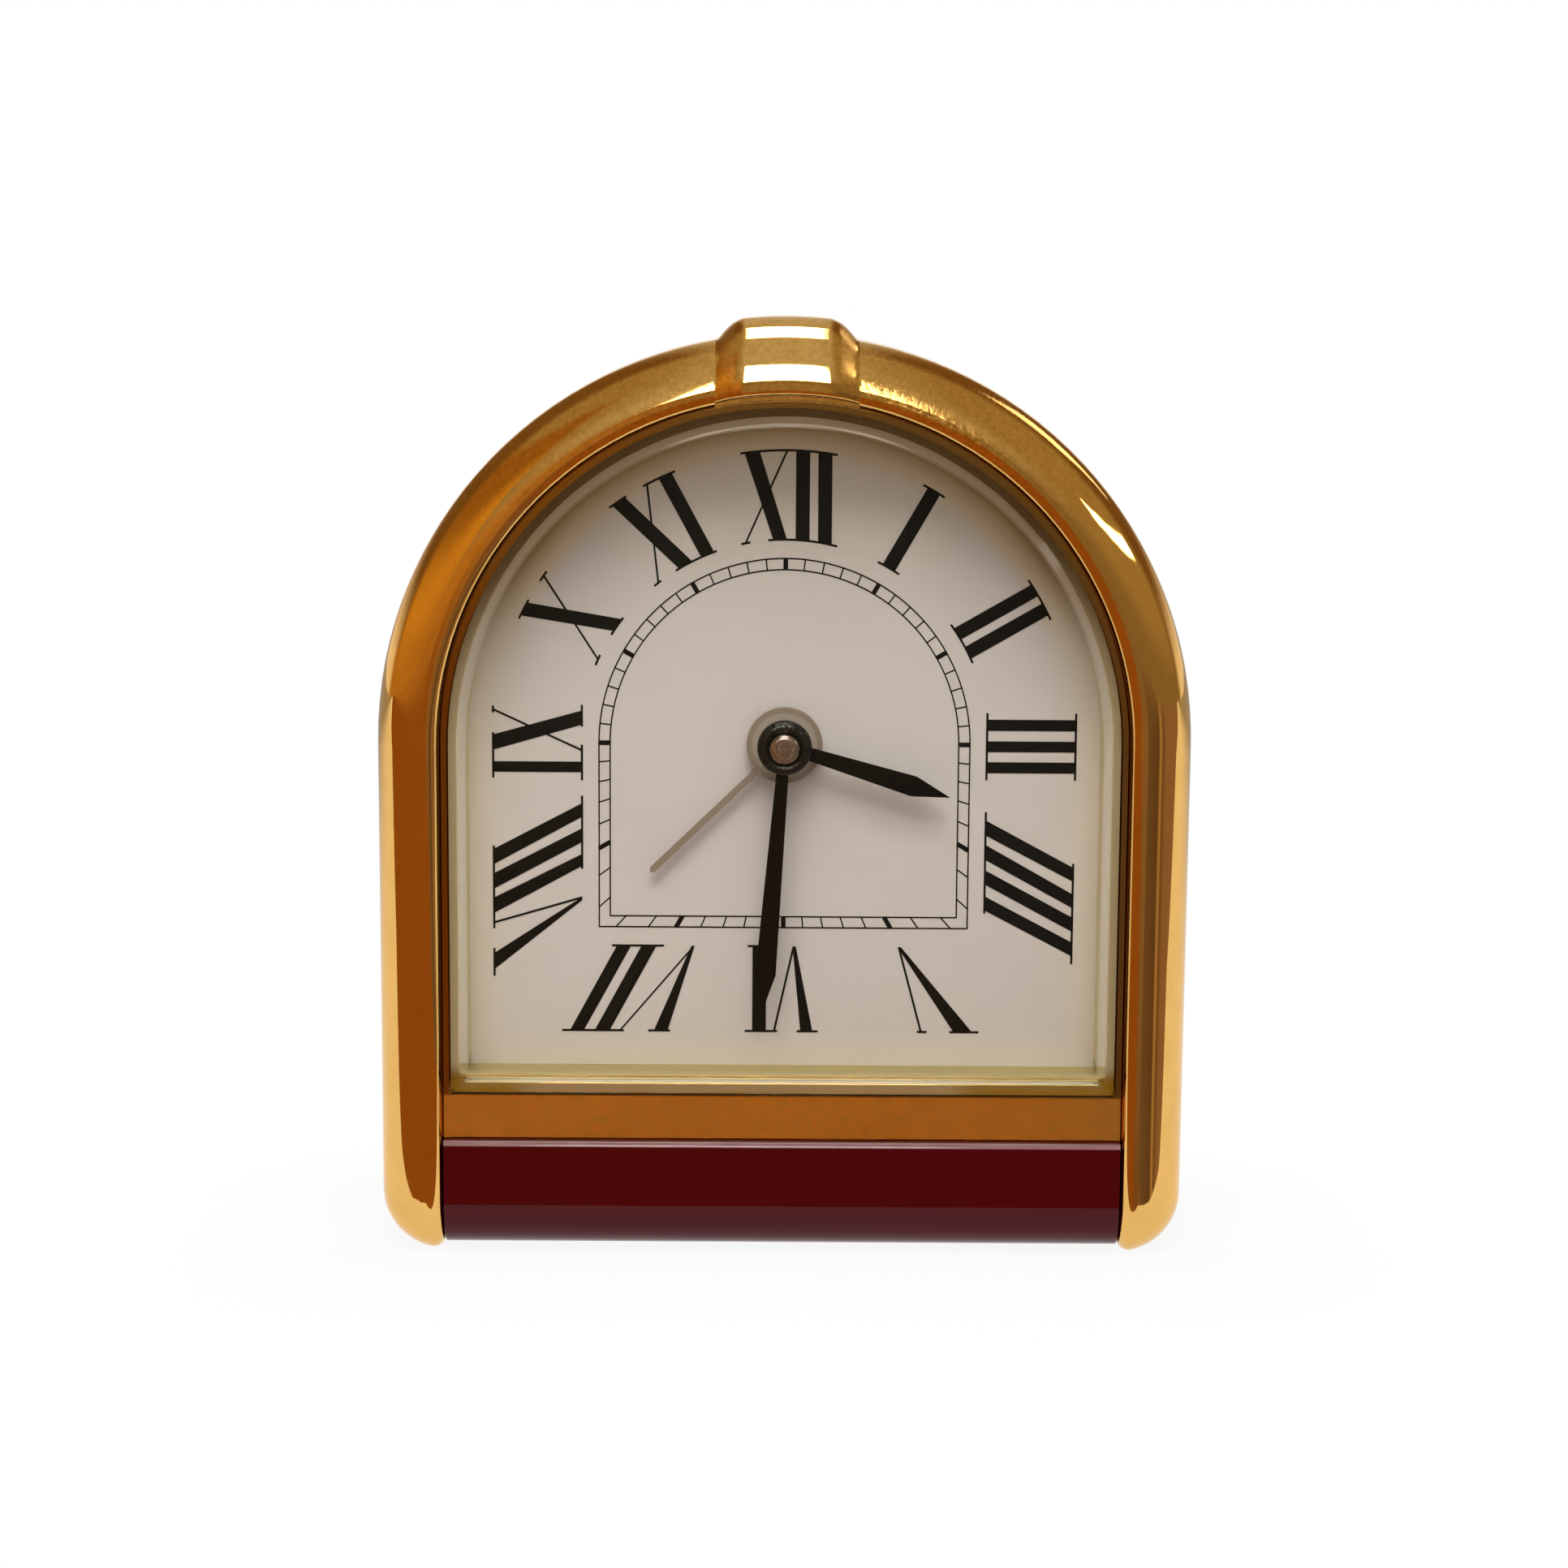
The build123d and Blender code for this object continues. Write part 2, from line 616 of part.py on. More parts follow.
# Motion work: the cannon pinion on the minute arbor drives the minute wheel, whose pinion drives the
# hour wheel on its pipe. The alarm wheel turns on the outermost pipe.
with BuildPart() as minute_arbor:
    with BuildSketch(at_depth(rear_plate_front - END_SHAKE)):
        with Locations(pivot):
            Circle(ARBOR_RADIUS)
    extrude(amount=rear_plate_front - END_SHAKE - nut_back + NUT_HEIGHT - NUT_CAP)
    with BuildSketch(at_depth(rear_plate_back)):
        with Locations(pivot):
            Circle(ARBOR_PIVOT)
    extrude(amount=REAR_PLATE_THICKNESS + END_SHAKE)
    with BuildSketch(at_depth(layer_back(3))):
        with Locations(pivot):
            add(gear(CANNON_TEETH, cannon_module, TO_MINUTE_WHEEL))
    extrude(amount=GEAR_THICKNESS)
minute_arbor.part.label = "minute_arbor"
export_step(minute_arbor.part, "parts/minute_arbor.step")

with BuildPart() as centre_wheel:
    with BuildSketch(at_depth(layer_back(4))):
        with Locations(pivot):
            add(gear(CENTRE_WHEEL_TEETH, CENTRE_MODULE, TO_THIRD_WHEEL))
            Circle(ARBOR_RADIUS + PRESS_CLEARANCE, mode=Mode.SUBTRACT)
    extrude(amount=GEAR_THICKNESS)
centre_wheel.part.label = "centre_wheel"
export_step(centre_wheel.part, "parts/centre_wheel.step")

with BuildPart() as hour_wheel:
    with BuildSketch(at_depth(layer_back(2))):
        with Locations(pivot):
            add(gear(HOUR_WHEEL_TEETH, hour_module, TO_MINUTE_WHEEL + 180 / HOUR_WHEEL_TEETH))
    extrude(amount=GEAR_THICKNESS)
    with BuildSketch(at_depth(layer_back(2))):
        with Locations(pivot):
            Circle(hour_pipe)
    extrude(amount=layer_back(2) - hour_hand_back + HUB_THICKNESS)
    with BuildSketch(at_depth(layer_back(2))):
        with Locations(pivot):
            Circle(hour_bore)
    extrude(amount=layer_back(2) - minute_hand_back, mode=Mode.SUBTRACT)
hour_wheel.part.label = "hour_wheel"
export_step(hour_wheel.part, "parts/hour_wheel.step")

with BuildPart() as alarm_wheel:
    with BuildSketch(at_depth(layer_back(1))):
        with Locations(pivot):
            add(gear(ALARM_WHEEL_TEETH, ALARM_MODULE, TO_ALARM_ARBOR + 180 / ALARM_WHEEL_TEETH))
    extrude(amount=GEAR_THICKNESS)
    with BuildSketch(at_depth(layer_back(1))):
        with Locations(pivot):
            Circle(alarm_pipe)
    extrude(amount=layer_back(1) - alarm_hand_back + HUB_THICKNESS)
    with BuildSketch(at_depth(layer_back(1))):
        with Locations(pivot):
            Circle(alarm_bore)
    extrude(amount=layer_back(1) - hour_hand_back, mode=Mode.SUBTRACT)
alarm_wheel.part.label = "alarm_wheel"
export_step(alarm_wheel.part, "parts/alarm_wheel.step")

# Setting arbors: each carries its gear, turns in both plates and leaves the back for its knob.
with BuildPart() as minute_wheel:
    with BuildSketch(at_depth(knob_back - KNOB_FLOOR)):
        with Locations(minute_wheel_at):
            Circle(ARBOR_RADIUS)
    extrude(amount=knob_back - KNOB_FLOOR - plate_back - END_SHAKE)
    with BuildSketch(at_depth(plate_back + END_SHAKE)):
        with Locations(minute_wheel_at):
            Circle(ARBOR_PIVOT)
    extrude(amount=PLATE_THICKNESS)
    with BuildSketch(at_depth(layer_back(2))):
        with Locations(minute_wheel_at):
            add(gear(MINUTE_PINION_TEETH, hour_module, TO_MINUTE_WHEEL + 180))
    extrude(amount=GEAR_THICKNESS)
    with BuildSketch(at_depth(layer_back(3))):
        with Locations(minute_wheel_at):
            add(gear(MINUTE_WHEEL_TEETH, cannon_module, TO_MINUTE_WHEEL + 180 + 180 / MINUTE_WHEEL_TEETH))
    extrude(amount=GEAR_THICKNESS)
minute_wheel.part.label = "minute_wheel"
export_step(minute_wheel.part, "parts/minute_wheel.step")

with BuildPart() as alarm_set_arbor:
    with BuildSketch(at_depth(knob_back - KNOB_FLOOR)):
        with Locations(alarm_arbor_at):
            Circle(ARBOR_RADIUS)
    extrude(amount=knob_back - KNOB_FLOOR - plate_back - END_SHAKE)
    with BuildSketch(at_depth(plate_back + END_SHAKE)):
        with Locations(alarm_arbor_at):
            Circle(ARBOR_PIVOT)
    extrude(amount=PLATE_THICKNESS)
    with BuildSketch(at_depth(layer_back(1))):
        with Locations(alarm_arbor_at):
            add(gear(ALARM_PINION_TEETH, ALARM_MODULE, TO_ALARM_ARBOR + 180))
    extrude(amount=GEAR_THICKNESS)
alarm_set_arbor.part.label = "alarm_set_arbor"
export_step(alarm_set_arbor.part, "parts/alarm_set_arbor.step")

with BuildPart() as time_set_knob:
    with BuildSketch(at_depth(knob_back)):
        with Locations(minute_wheel_at):
            add(fluted_disc(KNOB_RADIUS, KNOB_FLUTES, KNOB_FLUTE_DEPTH))
    extrude(amount=KNOB_HEIGHT)
    with BuildSketch(at_depth(knob_back - KNOB_FLOOR)):
        with Locations(minute_wheel_at):
            Circle(ARBOR_RADIUS + PRESS_CLEARANCE)
    extrude(amount=KNOB_HEIGHT, mode=Mode.SUBTRACT)
time_set_knob.part.label = "time_set_knob"
export_step(time_set_knob.part, "parts/time_set_knob.step")

with BuildPart() as alarm_set_knob:
    with BuildSketch(at_depth(knob_back)):
        with Locations(alarm_arbor_at):
            add(fluted_disc(KNOB_RADIUS, KNOB_FLUTES, KNOB_FLUTE_DEPTH))
    extrude(amount=KNOB_HEIGHT)
    with BuildSketch(at_depth(knob_back - KNOB_FLOOR)):
        with Locations(alarm_arbor_at):
            Circle(ARBOR_RADIUS + PRESS_CLEARANCE)
    extrude(amount=KNOB_HEIGHT, mode=Mode.SUBTRACT)
alarm_set_knob.part.label = "alarm_set_knob"
export_step(alarm_set_knob.part, "parts/alarm_set_knob.step")

# Motor train: rotor, second wheel and third wheel turn between the plates on fine pivots.
train_span = rear_plate_front - plate_back - 2 * END_SHAKE
pivot_span = rear_plate_back - plate_front
with BuildPart() as third_wheel:
    with BuildSketch(at_depth(rear_plate_front - END_SHAKE)):
        with Locations(third_at):
            Circle(TRAIN_ARBOR)
    extrude(amount=train_span)
    with BuildSketch(at_depth(rear_plate_back)):
        with Locations(third_at):
            Circle(TRAIN_PIVOT)
    extrude(amount=pivot_span)
    with BuildSketch(at_depth(layer_back(4))):
        with Locations(third_at):
            add(gear(THIRD_PINION_TEETH, CENTRE_MODULE, TO_THIRD_WHEEL + 180 + 180 / THIRD_PINION_TEETH))
    extrude(amount=GEAR_THICKNESS)
    with BuildSketch(at_depth(layer_back(5))):
        with Locations(third_at):
            add(gear(THIRD_WHEEL_TEETH, THIRD_MODULE, TO_SECOND_WHEEL))
    extrude(amount=GEAR_THICKNESS)
third_wheel.part.label = "third_wheel"
export_step(third_wheel.part, "parts/third_wheel.step")

with BuildPart() as second_wheel:
    with BuildSketch(at_depth(rear_plate_front - END_SHAKE)):
        with Locations(second_at):
            Circle(TRAIN_ARBOR)
    extrude(amount=train_span)
    with BuildSketch(at_depth(rear_plate_back)):
        with Locations(second_at):
            Circle(TRAIN_PIVOT)
    extrude(amount=pivot_span)
    with BuildSketch(at_depth(layer_back(5))):
        with Locations(second_at):
            add(gear(SECOND_PINION_TEETH, THIRD_MODULE, TO_SECOND_WHEEL + 180 + 180 / SECOND_PINION_TEETH))
    extrude(amount=GEAR_THICKNESS)
    with BuildSketch(at_depth(layer_back(6))):
        with Locations(second_at):
            add(gear(SECOND_WHEEL_TEETH, SECOND_MODULE, TO_ROTOR))
    extrude(amount=GEAR_THICKNESS)
second_wheel.part.label = "second_wheel"
export_step(second_wheel.part, "parts/second_wheel.step")

stator_back = layer_back(4)
stator_middle = stator_back - STATOR_THICKNESS / 2
with BuildPart() as rotor:
    with BuildSketch(at_depth(rear_plate_front - END_SHAKE)):
        with Locations(rotor_at):
            Circle(TRAIN_PIVOT)
    extrude(amount=train_span)
    with BuildSketch(at_depth(rear_plate_back)):
        with Locations(rotor_at):
            Circle(TRAIN_PIVOT)
    extrude(amount=pivot_span)
    with BuildSketch(at_depth(stator_middle + ROTOR_HEIGHT / 2)):
        with Locations(rotor_at):
            Circle(ROTOR_RADIUS)
    extrude(amount=ROTOR_HEIGHT)
    with BuildSketch(at_depth(layer_back(6))):
        with Locations(rotor_at):
            add(gear(ROTOR_PINION_TEETH, SECOND_MODULE, TO_ROTOR + 180 + 180 / ROTOR_PINION_TEETH))
    extrude(amount=GEAR_THICKNESS)
rotor.part.label = "rotor"
export_step(rotor.part, "parts/rotor.step")

# Stator: a soft iron plate with the rotor's hole and two feet that hold the coil's core.
coil_half = COIL_LENGTH / 2
foot_half = coil_half + STATOR_FOOT
waist_z = rotor_at[1] - STATOR_WAIST
shoulder_z = waist_z - STATOR_SHOULDER
bridge_z = shoulder_z - STATOR_BRIDGE
foot_z = bridge_z - STATOR_LEG
coil_z = (bridge_z + foot_z) / 2
with BuildPart() as stator:
    with BuildSketch(at_depth(stator_back)):
        with BuildLine():
            Polyline(
                (rotor_at[0] - STATOR_YOKE, rotor_at[1] + STATOR_TOP),
                (rotor_at[0] + STATOR_YOKE, rotor_at[1] + STATOR_TOP),
                (rotor_at[0] + STATOR_YOKE, waist_z),
                (rotor_at[0] + foot_half, shoulder_z),
                (rotor_at[0] + foot_half, foot_z),
                (rotor_at[0] + coil_half, foot_z),
                (rotor_at[0] + coil_half, bridge_z),
                (rotor_at[0] - coil_half, bridge_z),
                (rotor_at[0] - coil_half, foot_z),
                (rotor_at[0] - foot_half, foot_z),
                (rotor_at[0] - foot_half, shoulder_z),
                (rotor_at[0] - STATOR_YOKE, waist_z),
                close=True,
            )
        make_face()
        with Locations(rotor_at):
            Circle(ROTOR_RADIUS + ROTOR_AIR_GAP, mode=Mode.SUBTRACT)
    extrude(amount=STATOR_THICKNESS)
stator.part.label = "stator"
export_step(stator.part, "parts/stator.step")

with BuildPart() as coil_core:
    with BuildSketch(Plane.YZ.offset(rotor_at[0])):
        with Locations((y_at(stator_middle), coil_z)):
            Circle(COIL_CORE)
    extrude(amount=coil_half, both=True)
coil_core.part.label = "coil_core"
export_step(coil_core.part, "parts/coil_core.step")

with BuildPart() as coil_winding:
    with BuildSketch(Plane.YZ.offset(rotor_at[0])):
        with Locations((y_at(stator_middle), coil_z)):
            Circle(COIL_RADIUS)
            Circle(COIL_CORE + PRESS_CLEARANCE, mode=Mode.SUBTRACT)
    extrude(amount=coil_half - COIL_CHEEK, both=True)
coil_winding.part.label = "coil_winding"
export_step(coil_winding.part, "parts/coil_winding.step")

# Circuit board on the rear plate, with the clock chip under its drop of resin and the quartz can.
board_at = (BOARD_X, pivot[1] - BOARD_DROP)
board_front = rear_plate_front - BOARD_THICKNESS
with BuildPart() as circuit_board:
    with BuildSketch(at_depth(rear_plate_front)):
        with Locations(board_at):
            Rectangle(BOARD_WIDTH, BOARD_HEIGHT)
    extrude(amount=BOARD_THICKNESS)
circuit_board.part.label = "circuit_board"
export_step(circuit_board.part, "parts/circuit_board.step")

with BuildPart() as clock_chip:
    with BuildSketch(at_depth(board_front)):
        with Locations((board_at[0], board_at[1] - CHIP_OFFSET)):
            Circle(CHIP_RADIUS)
    extrude(amount=CHIP_HEIGHT)
    fillet(clock_chip.faces().sort_by(Axis.Y)[0].edges(), CHIP_HEIGHT / 2)
clock_chip.part.label = "clock_chip"
export_step(clock_chip.part, "parts/clock_chip.step")

with BuildPart() as quartz_can:
    with BuildSketch(Plane.YZ.offset(board_at[0])):
        with Locations((y_at(board_front - CAN_RADIUS), board_at[1] + CHIP_OFFSET)):
            Circle(CAN_RADIUS)
    extrude(amount=CAN_LENGTH / 2, both=True)
quartz_can.part.label = "quartz_can"
export_step(quartz_can.part, "parts/quartz_can.step")

# Front plate: carries the pillars, the bearing of the pipes, the train's bearings and the cell's cup.
cup_outside = BATTERY_RADIUS + CUP_CLEARANCE + CUP_WALL
with BuildPart() as movement_front_plate:
    with BuildSketch(at_depth(plate_back)):
        add(arch(inner_half, inner_floor))
    extrude(amount=PLATE_THICKNESS)
    with BuildSketch(at_depth(rear_plate_front)):
        with Locations(*pillars_at):
            Circle(PILLAR_RADIUS)
    extrude(amount=rear_plate_front - plate_back)
    with BuildSketch(at_depth(plate_back + CUP_HEIGHT)):
        with Locations(battery_at):
            Circle(cup_outside)
            Circle(BATTERY_RADIUS + CUP_CLEARANCE, mode=Mode.SUBTRACT)
    extrude(amount=CUP_HEIGHT)
    with BuildSketch(at_depth(plate_back)):
        with Locations(pivot):
            Circle(alarm_pipe + RUN_CLEARANCE)
        with Locations(minute_wheel_at, alarm_arbor_at):
            Circle(ARBOR_PIVOT + RUN_CLEARANCE)
        with Locations(*train_at):
            Circle(TRAIN_PIVOT + RUN_CLEARANCE)
    extrude(amount=PLATE_THICKNESS, mode=Mode.SUBTRACT)
    with BuildSketch(at_depth(rear_plate_front)):
        with Locations(*pillars_at):
            Circle(SCREW_SHANK + PRESS_CLEARANCE)
    extrude(amount=SCREW_REACH, mode=Mode.SUBTRACT)
movement_front_plate.part.label = "movement_front_plate"
export_step(movement_front_plate.part, "parts/movement_front_plate.step")

rear_plate_middle = (rear_plate_low + rear_plate_high) / 2
with BuildPart() as movement_back_plate:
    with BuildSketch(at_depth(rear_plate_back)):
        with Locations((0, rear_plate_middle)):
            RectangleRounded(2 * REAR_PLATE_HALF_WIDTH, rear_plate_high - rear_plate_low, PLATE_CORNER)
        with Locations(pivot):
            Circle(ARBOR_PIVOT + RUN_CLEARANCE, mode=Mode.SUBTRACT)
        with Locations(minute_wheel_at, alarm_arbor_at):
            Circle(ARBOR_RADIUS + RUN_CLEARANCE, mode=Mode.SUBTRACT)
        with Locations(*train_at):
            Circle(TRAIN_PIVOT + RUN_CLEARANCE, mode=Mode.SUBTRACT)
        with Locations(*pillars_at):
            Circle(SCREW_SHANK + SEAT_CLEARANCE, mode=Mode.SUBTRACT)
    extrude(amount=REAR_PLATE_THICKNESS)
movement_back_plate.part.label = "movement_back_plate"
export_step(movement_back_plate.part, "parts/movement_back_plate.step")

with BuildPart() as movement_screws:
    with BuildSketch(at_depth(rear_plate_back + SCREW_HEAD_HEIGHT)):
        with Locations(*pillars_at):
            Circle(SCREW_HEAD)
    extrude(amount=SCREW_HEAD_HEIGHT)
    with BuildSketch(at_depth(rear_plate_back)):
        with Locations(*pillars_at):
            Circle(SCREW_SHANK)
    extrude(amount=REAR_PLATE_THICKNESS + SCREW_REACH - SEAT_CLEARANCE)
    with BuildSketch(at_depth(rear_plate_back + SCREW_HEAD_HEIGHT)):
        with Locations(*pillars_at):
            Rectangle(2 * SCREW_HEAD, SCREW_SLOT)
    extrude(amount=SCREW_HEAD_HEIGHT / 2, mode=Mode.SUBTRACT)
movement_screws.part.label = "movement_screws"
export_step(movement_screws.part, "parts/movement_screws.step")

# Holder: the ring that the back cover presses on the front plate, pierced for the button's stem.
holder_half = inner_half - HOLDER_WALL
with BuildPart() as movement_holder:
    with BuildSketch(at_depth(cover_front)):
        add(arch(inner_half, inner_floor))
        add(arch(holder_half, inner_floor + HOLDER_WALL), mode=Mode.SUBTRACT)
    extrude(amount=cover_front - plate_back)
    with BuildSketch(Plane.XY.offset(arch_top)):
        with Locations((0, y_at(STEM_DEPTH))):
            Circle(STEM_RADIUS + SLIDE_CLEARANCE)
    extrude(amount=-case_half, mode=Mode.SUBTRACT)
movement_holder.part.label = "movement_holder"
export_step(movement_holder.part, "parts/movement_holder.step")

# Button cell with a disc contact in its cup and a clip that reaches over the cup to its side.
battery_front = plate_back + CONTACT_THICKNESS
battery_back = battery_front + BATTERY_HEIGHT
with BuildPart() as battery:
    with BuildSketch(at_depth(battery_back)):
        with Locations(battery_at):
            Circle(BATTERY_RADIUS)
    extrude(amount=BATTERY_HEIGHT)
    fillet(battery.faces().sort_by(Axis.Y)[-1].edges(), BATTERY_EDGE_ROUND)
battery.part.label = "battery"
export_step(battery.part, "parts/battery.step")

with BuildPart() as battery_contact_front:
    with BuildSketch(at_depth(battery_front)):
        with Locations(battery_at):
            Circle(CONTACT_RADIUS)
    extrude(amount=CONTACT_THICKNESS)
battery_contact_front.part.label = "battery_contact_front"
export_step(battery_contact_front.part, "parts/battery_contact_front.step")

clip_outside = cup_outside + SEAT_CLEARANCE + CLIP_THICKNESS
clip_front = plate_back + CUP_HEIGHT + CLIP_GAP
clip_length = clip_outside - BATTERY_RADIUS - PRESS_CLEARANCE
with BuildPart() as battery_contact_side:
    with BuildSketch(at_depth(clip_front + CLIP_THICKNESS)):
        with Locations((battery_at[0] + clip_outside - CLIP_THICKNESS / 2, battery_at[1])):
            Rectangle(CLIP_THICKNESS, CLIP_WIDTH)
    extrude(amount=clip_front + CLIP_THICKNESS - plate_back)
    with BuildSketch(at_depth(clip_front + CLIP_THICKNESS)):
        with Locations((battery_at[0] + clip_outside - clip_length / 2, battery_at[1])):
            Rectangle(clip_length, CLIP_WIDTH)
    extrude(amount=CLIP_THICKNESS)
battery_contact_side.part.label = "battery_contact_side"
export_step(battery_contact_side.part, "parts/battery_contact_side.step")

# Back cover: closes the arch, with a stepped bayonet hole for the hatch and two lugs for the strut.
hatch_seat = case_depth - HATCH_FLANGE - HATCH_GASKET
hatch_hole = HATCH_PLUG + SEAT_CLEARANCE
lug_radius = HATCH_RADIUS - SEAT_CLEARANCE
lug_half_arc = math.radians(LUG_ARC / 2)
barrel_half = BARREL_WIDTH / 2
lug_inside = barrel_half + LUG_CLEARANCE


def lug_sector(radius, half_arc, turn):
    """Returns two opposite sectors of a disc, the first in the direction turn."""
    with BuildSketch() as face:
        with PolarLocations(0, 2, start_angle=turn):
            with BuildLine():
                arc_start = (radius * math.cos(half_arc), -radius * math.sin(half_arc))
                arc_end = (radius * math.cos(half_arc), radius * math.sin(half_arc))
                Polyline(arc_end, (0, 0), arc_start)
                ThreePointArc(arc_start, (radius, 0), arc_end)
            make_face()
    return face.sketch


with BuildPart() as back_cover:
    with BuildSketch(at_depth(case_depth)):
        add(arch(cover_seat_half - SEAT_CLEARANCE, inner_floor))
    extrude(amount=COVER_THICKNESS)
    with BuildSketch(at_depth(case_depth)):
        with Locations(battery_at):
            Circle(HATCH_RADIUS + SEAT_CLEARANCE)
    extrude(amount=case_depth - hatch_seat, mode=Mode.SUBTRACT)
    with BuildSketch(at_depth(case_depth)):
        with Locations(battery_at):
            Circle(hatch_hole)
            add(lug_sector(HATCH_RADIUS, lug_half_arc + math.radians(LUG_ARC_CLEARANCE), -LUG_TURN))
        with Locations(minute_wheel_at, alarm_arbor_at):
            Circle(ARBOR_RADIUS + ARBOR_HOLE_CLEARANCE)
        with Locations(*cover_screws_at):
            Circle(SCREW_SHANK + SEAT_CLEARANCE)
    extrude(amount=COVER_THICKNESS, mode=Mode.SUBTRACT)
    with BuildSketch(at_depth(case_depth)):
        with Locations(*cover_screws_at):
            Circle(SCREW_HEAD + SEAT_CLEARANCE)
    extrude(amount=COVER_SCREW_HEAD, mode=Mode.SUBTRACT)
    for side in (-1, 1):
        with BuildSketch(Plane.YZ.offset(side * (lug_inside + LUG_WIDTH / 2))):
            with Locations((y_at(hinge_depth), hinge_height)):
                Circle(HINGE_RADIUS)
            with Locations((y_at((case_depth + hinge_depth) / 2), hinge_height)):
                Rectangle(hinge_depth - case_depth, 2 * HINGE_RADIUS)
            with Locations((y_at(hinge_depth), hinge_height)):
                Circle(HINGE_PIN + PRESS_CLEARANCE, mode=Mode.SUBTRACT)
        extrude(amount=LUG_WIDTH / 2, both=True)
back_cover.part.label = "back_cover"
export_step(back_cover.part, "parts/back_cover.step")

with BuildPart() as back_cover_screws:
    with BuildSketch(at_depth(case_depth)):
        with Locations(*cover_screws_at):
            Circle(SCREW_HEAD)
    extrude(amount=COVER_SCREW_HEAD)
    with BuildSketch(at_depth(case_depth - COVER_SCREW_HEAD)):
        with Locations(*cover_screws_at):
            Circle(SCREW_SHANK)
    extrude(amount=COVER_THICKNESS - COVER_SCREW_HEAD + SCREW_REACH - SEAT_CLEARANCE)
    with BuildSketch(at_depth(case_depth)):
        with Locations(*cover_screws_at):
            Rectangle(2 * SCREW_HEAD, SCREW_SLOT)
    extrude(amount=COVER_SCREW_HEAD / 2, mode=Mode.SUBTRACT)
back_cover_screws.part.label = "back_cover_screws"
export_step(back_cover_screws.part, "parts/back_cover_screws.step")

# Battery hatch: a coin-slotted disc whose two lugs turn under the cover.
lug_back = cover_front - SEAT_CLEARANCE
lug_front = lug_back - LUG_HEIGHT
plug_front = battery_back + BATTERY_PLAY
with BuildPart() as battery_hatch:
    with BuildSketch(at_depth(case_depth)):
        with Locations(battery_at):
            Circle(HATCH_RADIUS)
    extrude(amount=HATCH_FLANGE)
    with BuildSketch(at_depth(case_depth - HATCH_FLANGE)):
        with Locations(battery_at):
            Circle(HATCH_PLUG)
    extrude(amount=case_depth - HATCH_FLANGE - lug_front)
    with BuildSketch(at_depth(lug_back)):
        with Locations(battery_at):
            add(lug_sector(lug_radius, lug_half_arc, 0))
    extrude(amount=LUG_HEIGHT)
    with BuildSketch(at_depth(plug_front)):
        with Locations(battery_at):
            Circle(HATCH_PLUG - HATCH_SKIRT)
    extrude(amount=plug_front - lug_front, mode=Mode.SUBTRACT)
    with BuildSketch(at_depth(case_depth)):
        with Locations(battery_at):
            Rectangle(COIN_SLOT_LENGTH, COIN_SLOT_WIDTH)
    extrude(amount=COIN_SLOT_DEPTH, mode=Mode.SUBTRACT)
battery_hatch.part.label = "battery_hatch"
export_step(battery_hatch.part, "parts/battery_hatch.step")

with BuildPart() as hatch_gasket:
    with BuildSketch(at_depth(case_depth - HATCH_FLANGE)):
        with Locations(battery_at):
            Circle(HATCH_RADIUS)
            Circle(hatch_hole, mode=Mode.SUBTRACT)
    extrude(amount=HATCH_GASKET)
hatch_gasket.part.label = "hatch_gasket"
export_step(hatch_gasket.part, "parts/hatch_gasket.step")

with BuildPart() as buzzer_disc:
    with BuildSketch(at_depth(cover_front)):
        with Locations((0, pivot[1] - BUZZER_DROP)):
            Circle(BUZZER_RADIUS)
    extrude(amount=BUZZER_THICKNESS)
buzzer_disc.part.label = "buzzer_disc"
export_step(buzzer_disc.part, "parts/buzzer_disc.step")

# Strut: a stamped easel leg that hangs from its barrel and folds flat on the back.
strut_back = hinge_depth + STRUT_THICKNESS / 2
strut_shoulder = hinge_height - STRUT_SHOULDER
with BuildPart() as strut:
    with BuildSketch(at_depth(strut_back)) as strut_face:
        with BuildLine():
            Polyline(
                (-barrel_half, hinge_height),
                (-barrel_half, strut_shoulder),
                (-STRUT_TOP_WIDTH / 2, strut_shoulder),
                (-STRUT_FOOT_WIDTH / 2, STRUT_FOOT_HEIGHT),
                (STRUT_FOOT_WIDTH / 2, STRUT_FOOT_HEIGHT),
                (STRUT_TOP_WIDTH / 2, strut_shoulder),
                (barrel_half, strut_shoulder),
                (barrel_half, hinge_height),
                close=True,
            )
        make_face()
        fillet(strut_face.vertices().group_by(Axis.Y)[0], STRUT_CORNER)
        with Locations((0, STRUT_FOOT_HEIGHT)):
            Circle(FINGER_NOTCH, mode=Mode.SUBTRACT)
    extrude(amount=STRUT_THICKNESS)
    with BuildSketch(Plane.YZ):
        with Locations((y_at(hinge_depth), hinge_height)):
            Circle(HINGE_RADIUS)
    extrude(amount=barrel_half, both=True)
    with BuildSketch(Plane.YZ):
        with Locations((y_at(hinge_depth), hinge_height)):
            Circle(HINGE_PIN + RUN_CLEARANCE)
    extrude(amount=barrel_half, both=True, mode=Mode.SUBTRACT)
strut.part.label = "strut"
export_step(strut.part, "parts/strut.step")

with BuildPart() as strut_pin:
    with BuildSketch(Plane.YZ):
        with Locations((y_at(hinge_depth), hinge_height)):
            Circle(HINGE_PIN)
    extrude(amount=lug_inside + LUG_WIDTH, both=True)
strut_pin.part.label = "strut_pin"
export_step(strut_pin.part, "parts/strut_pin.step")

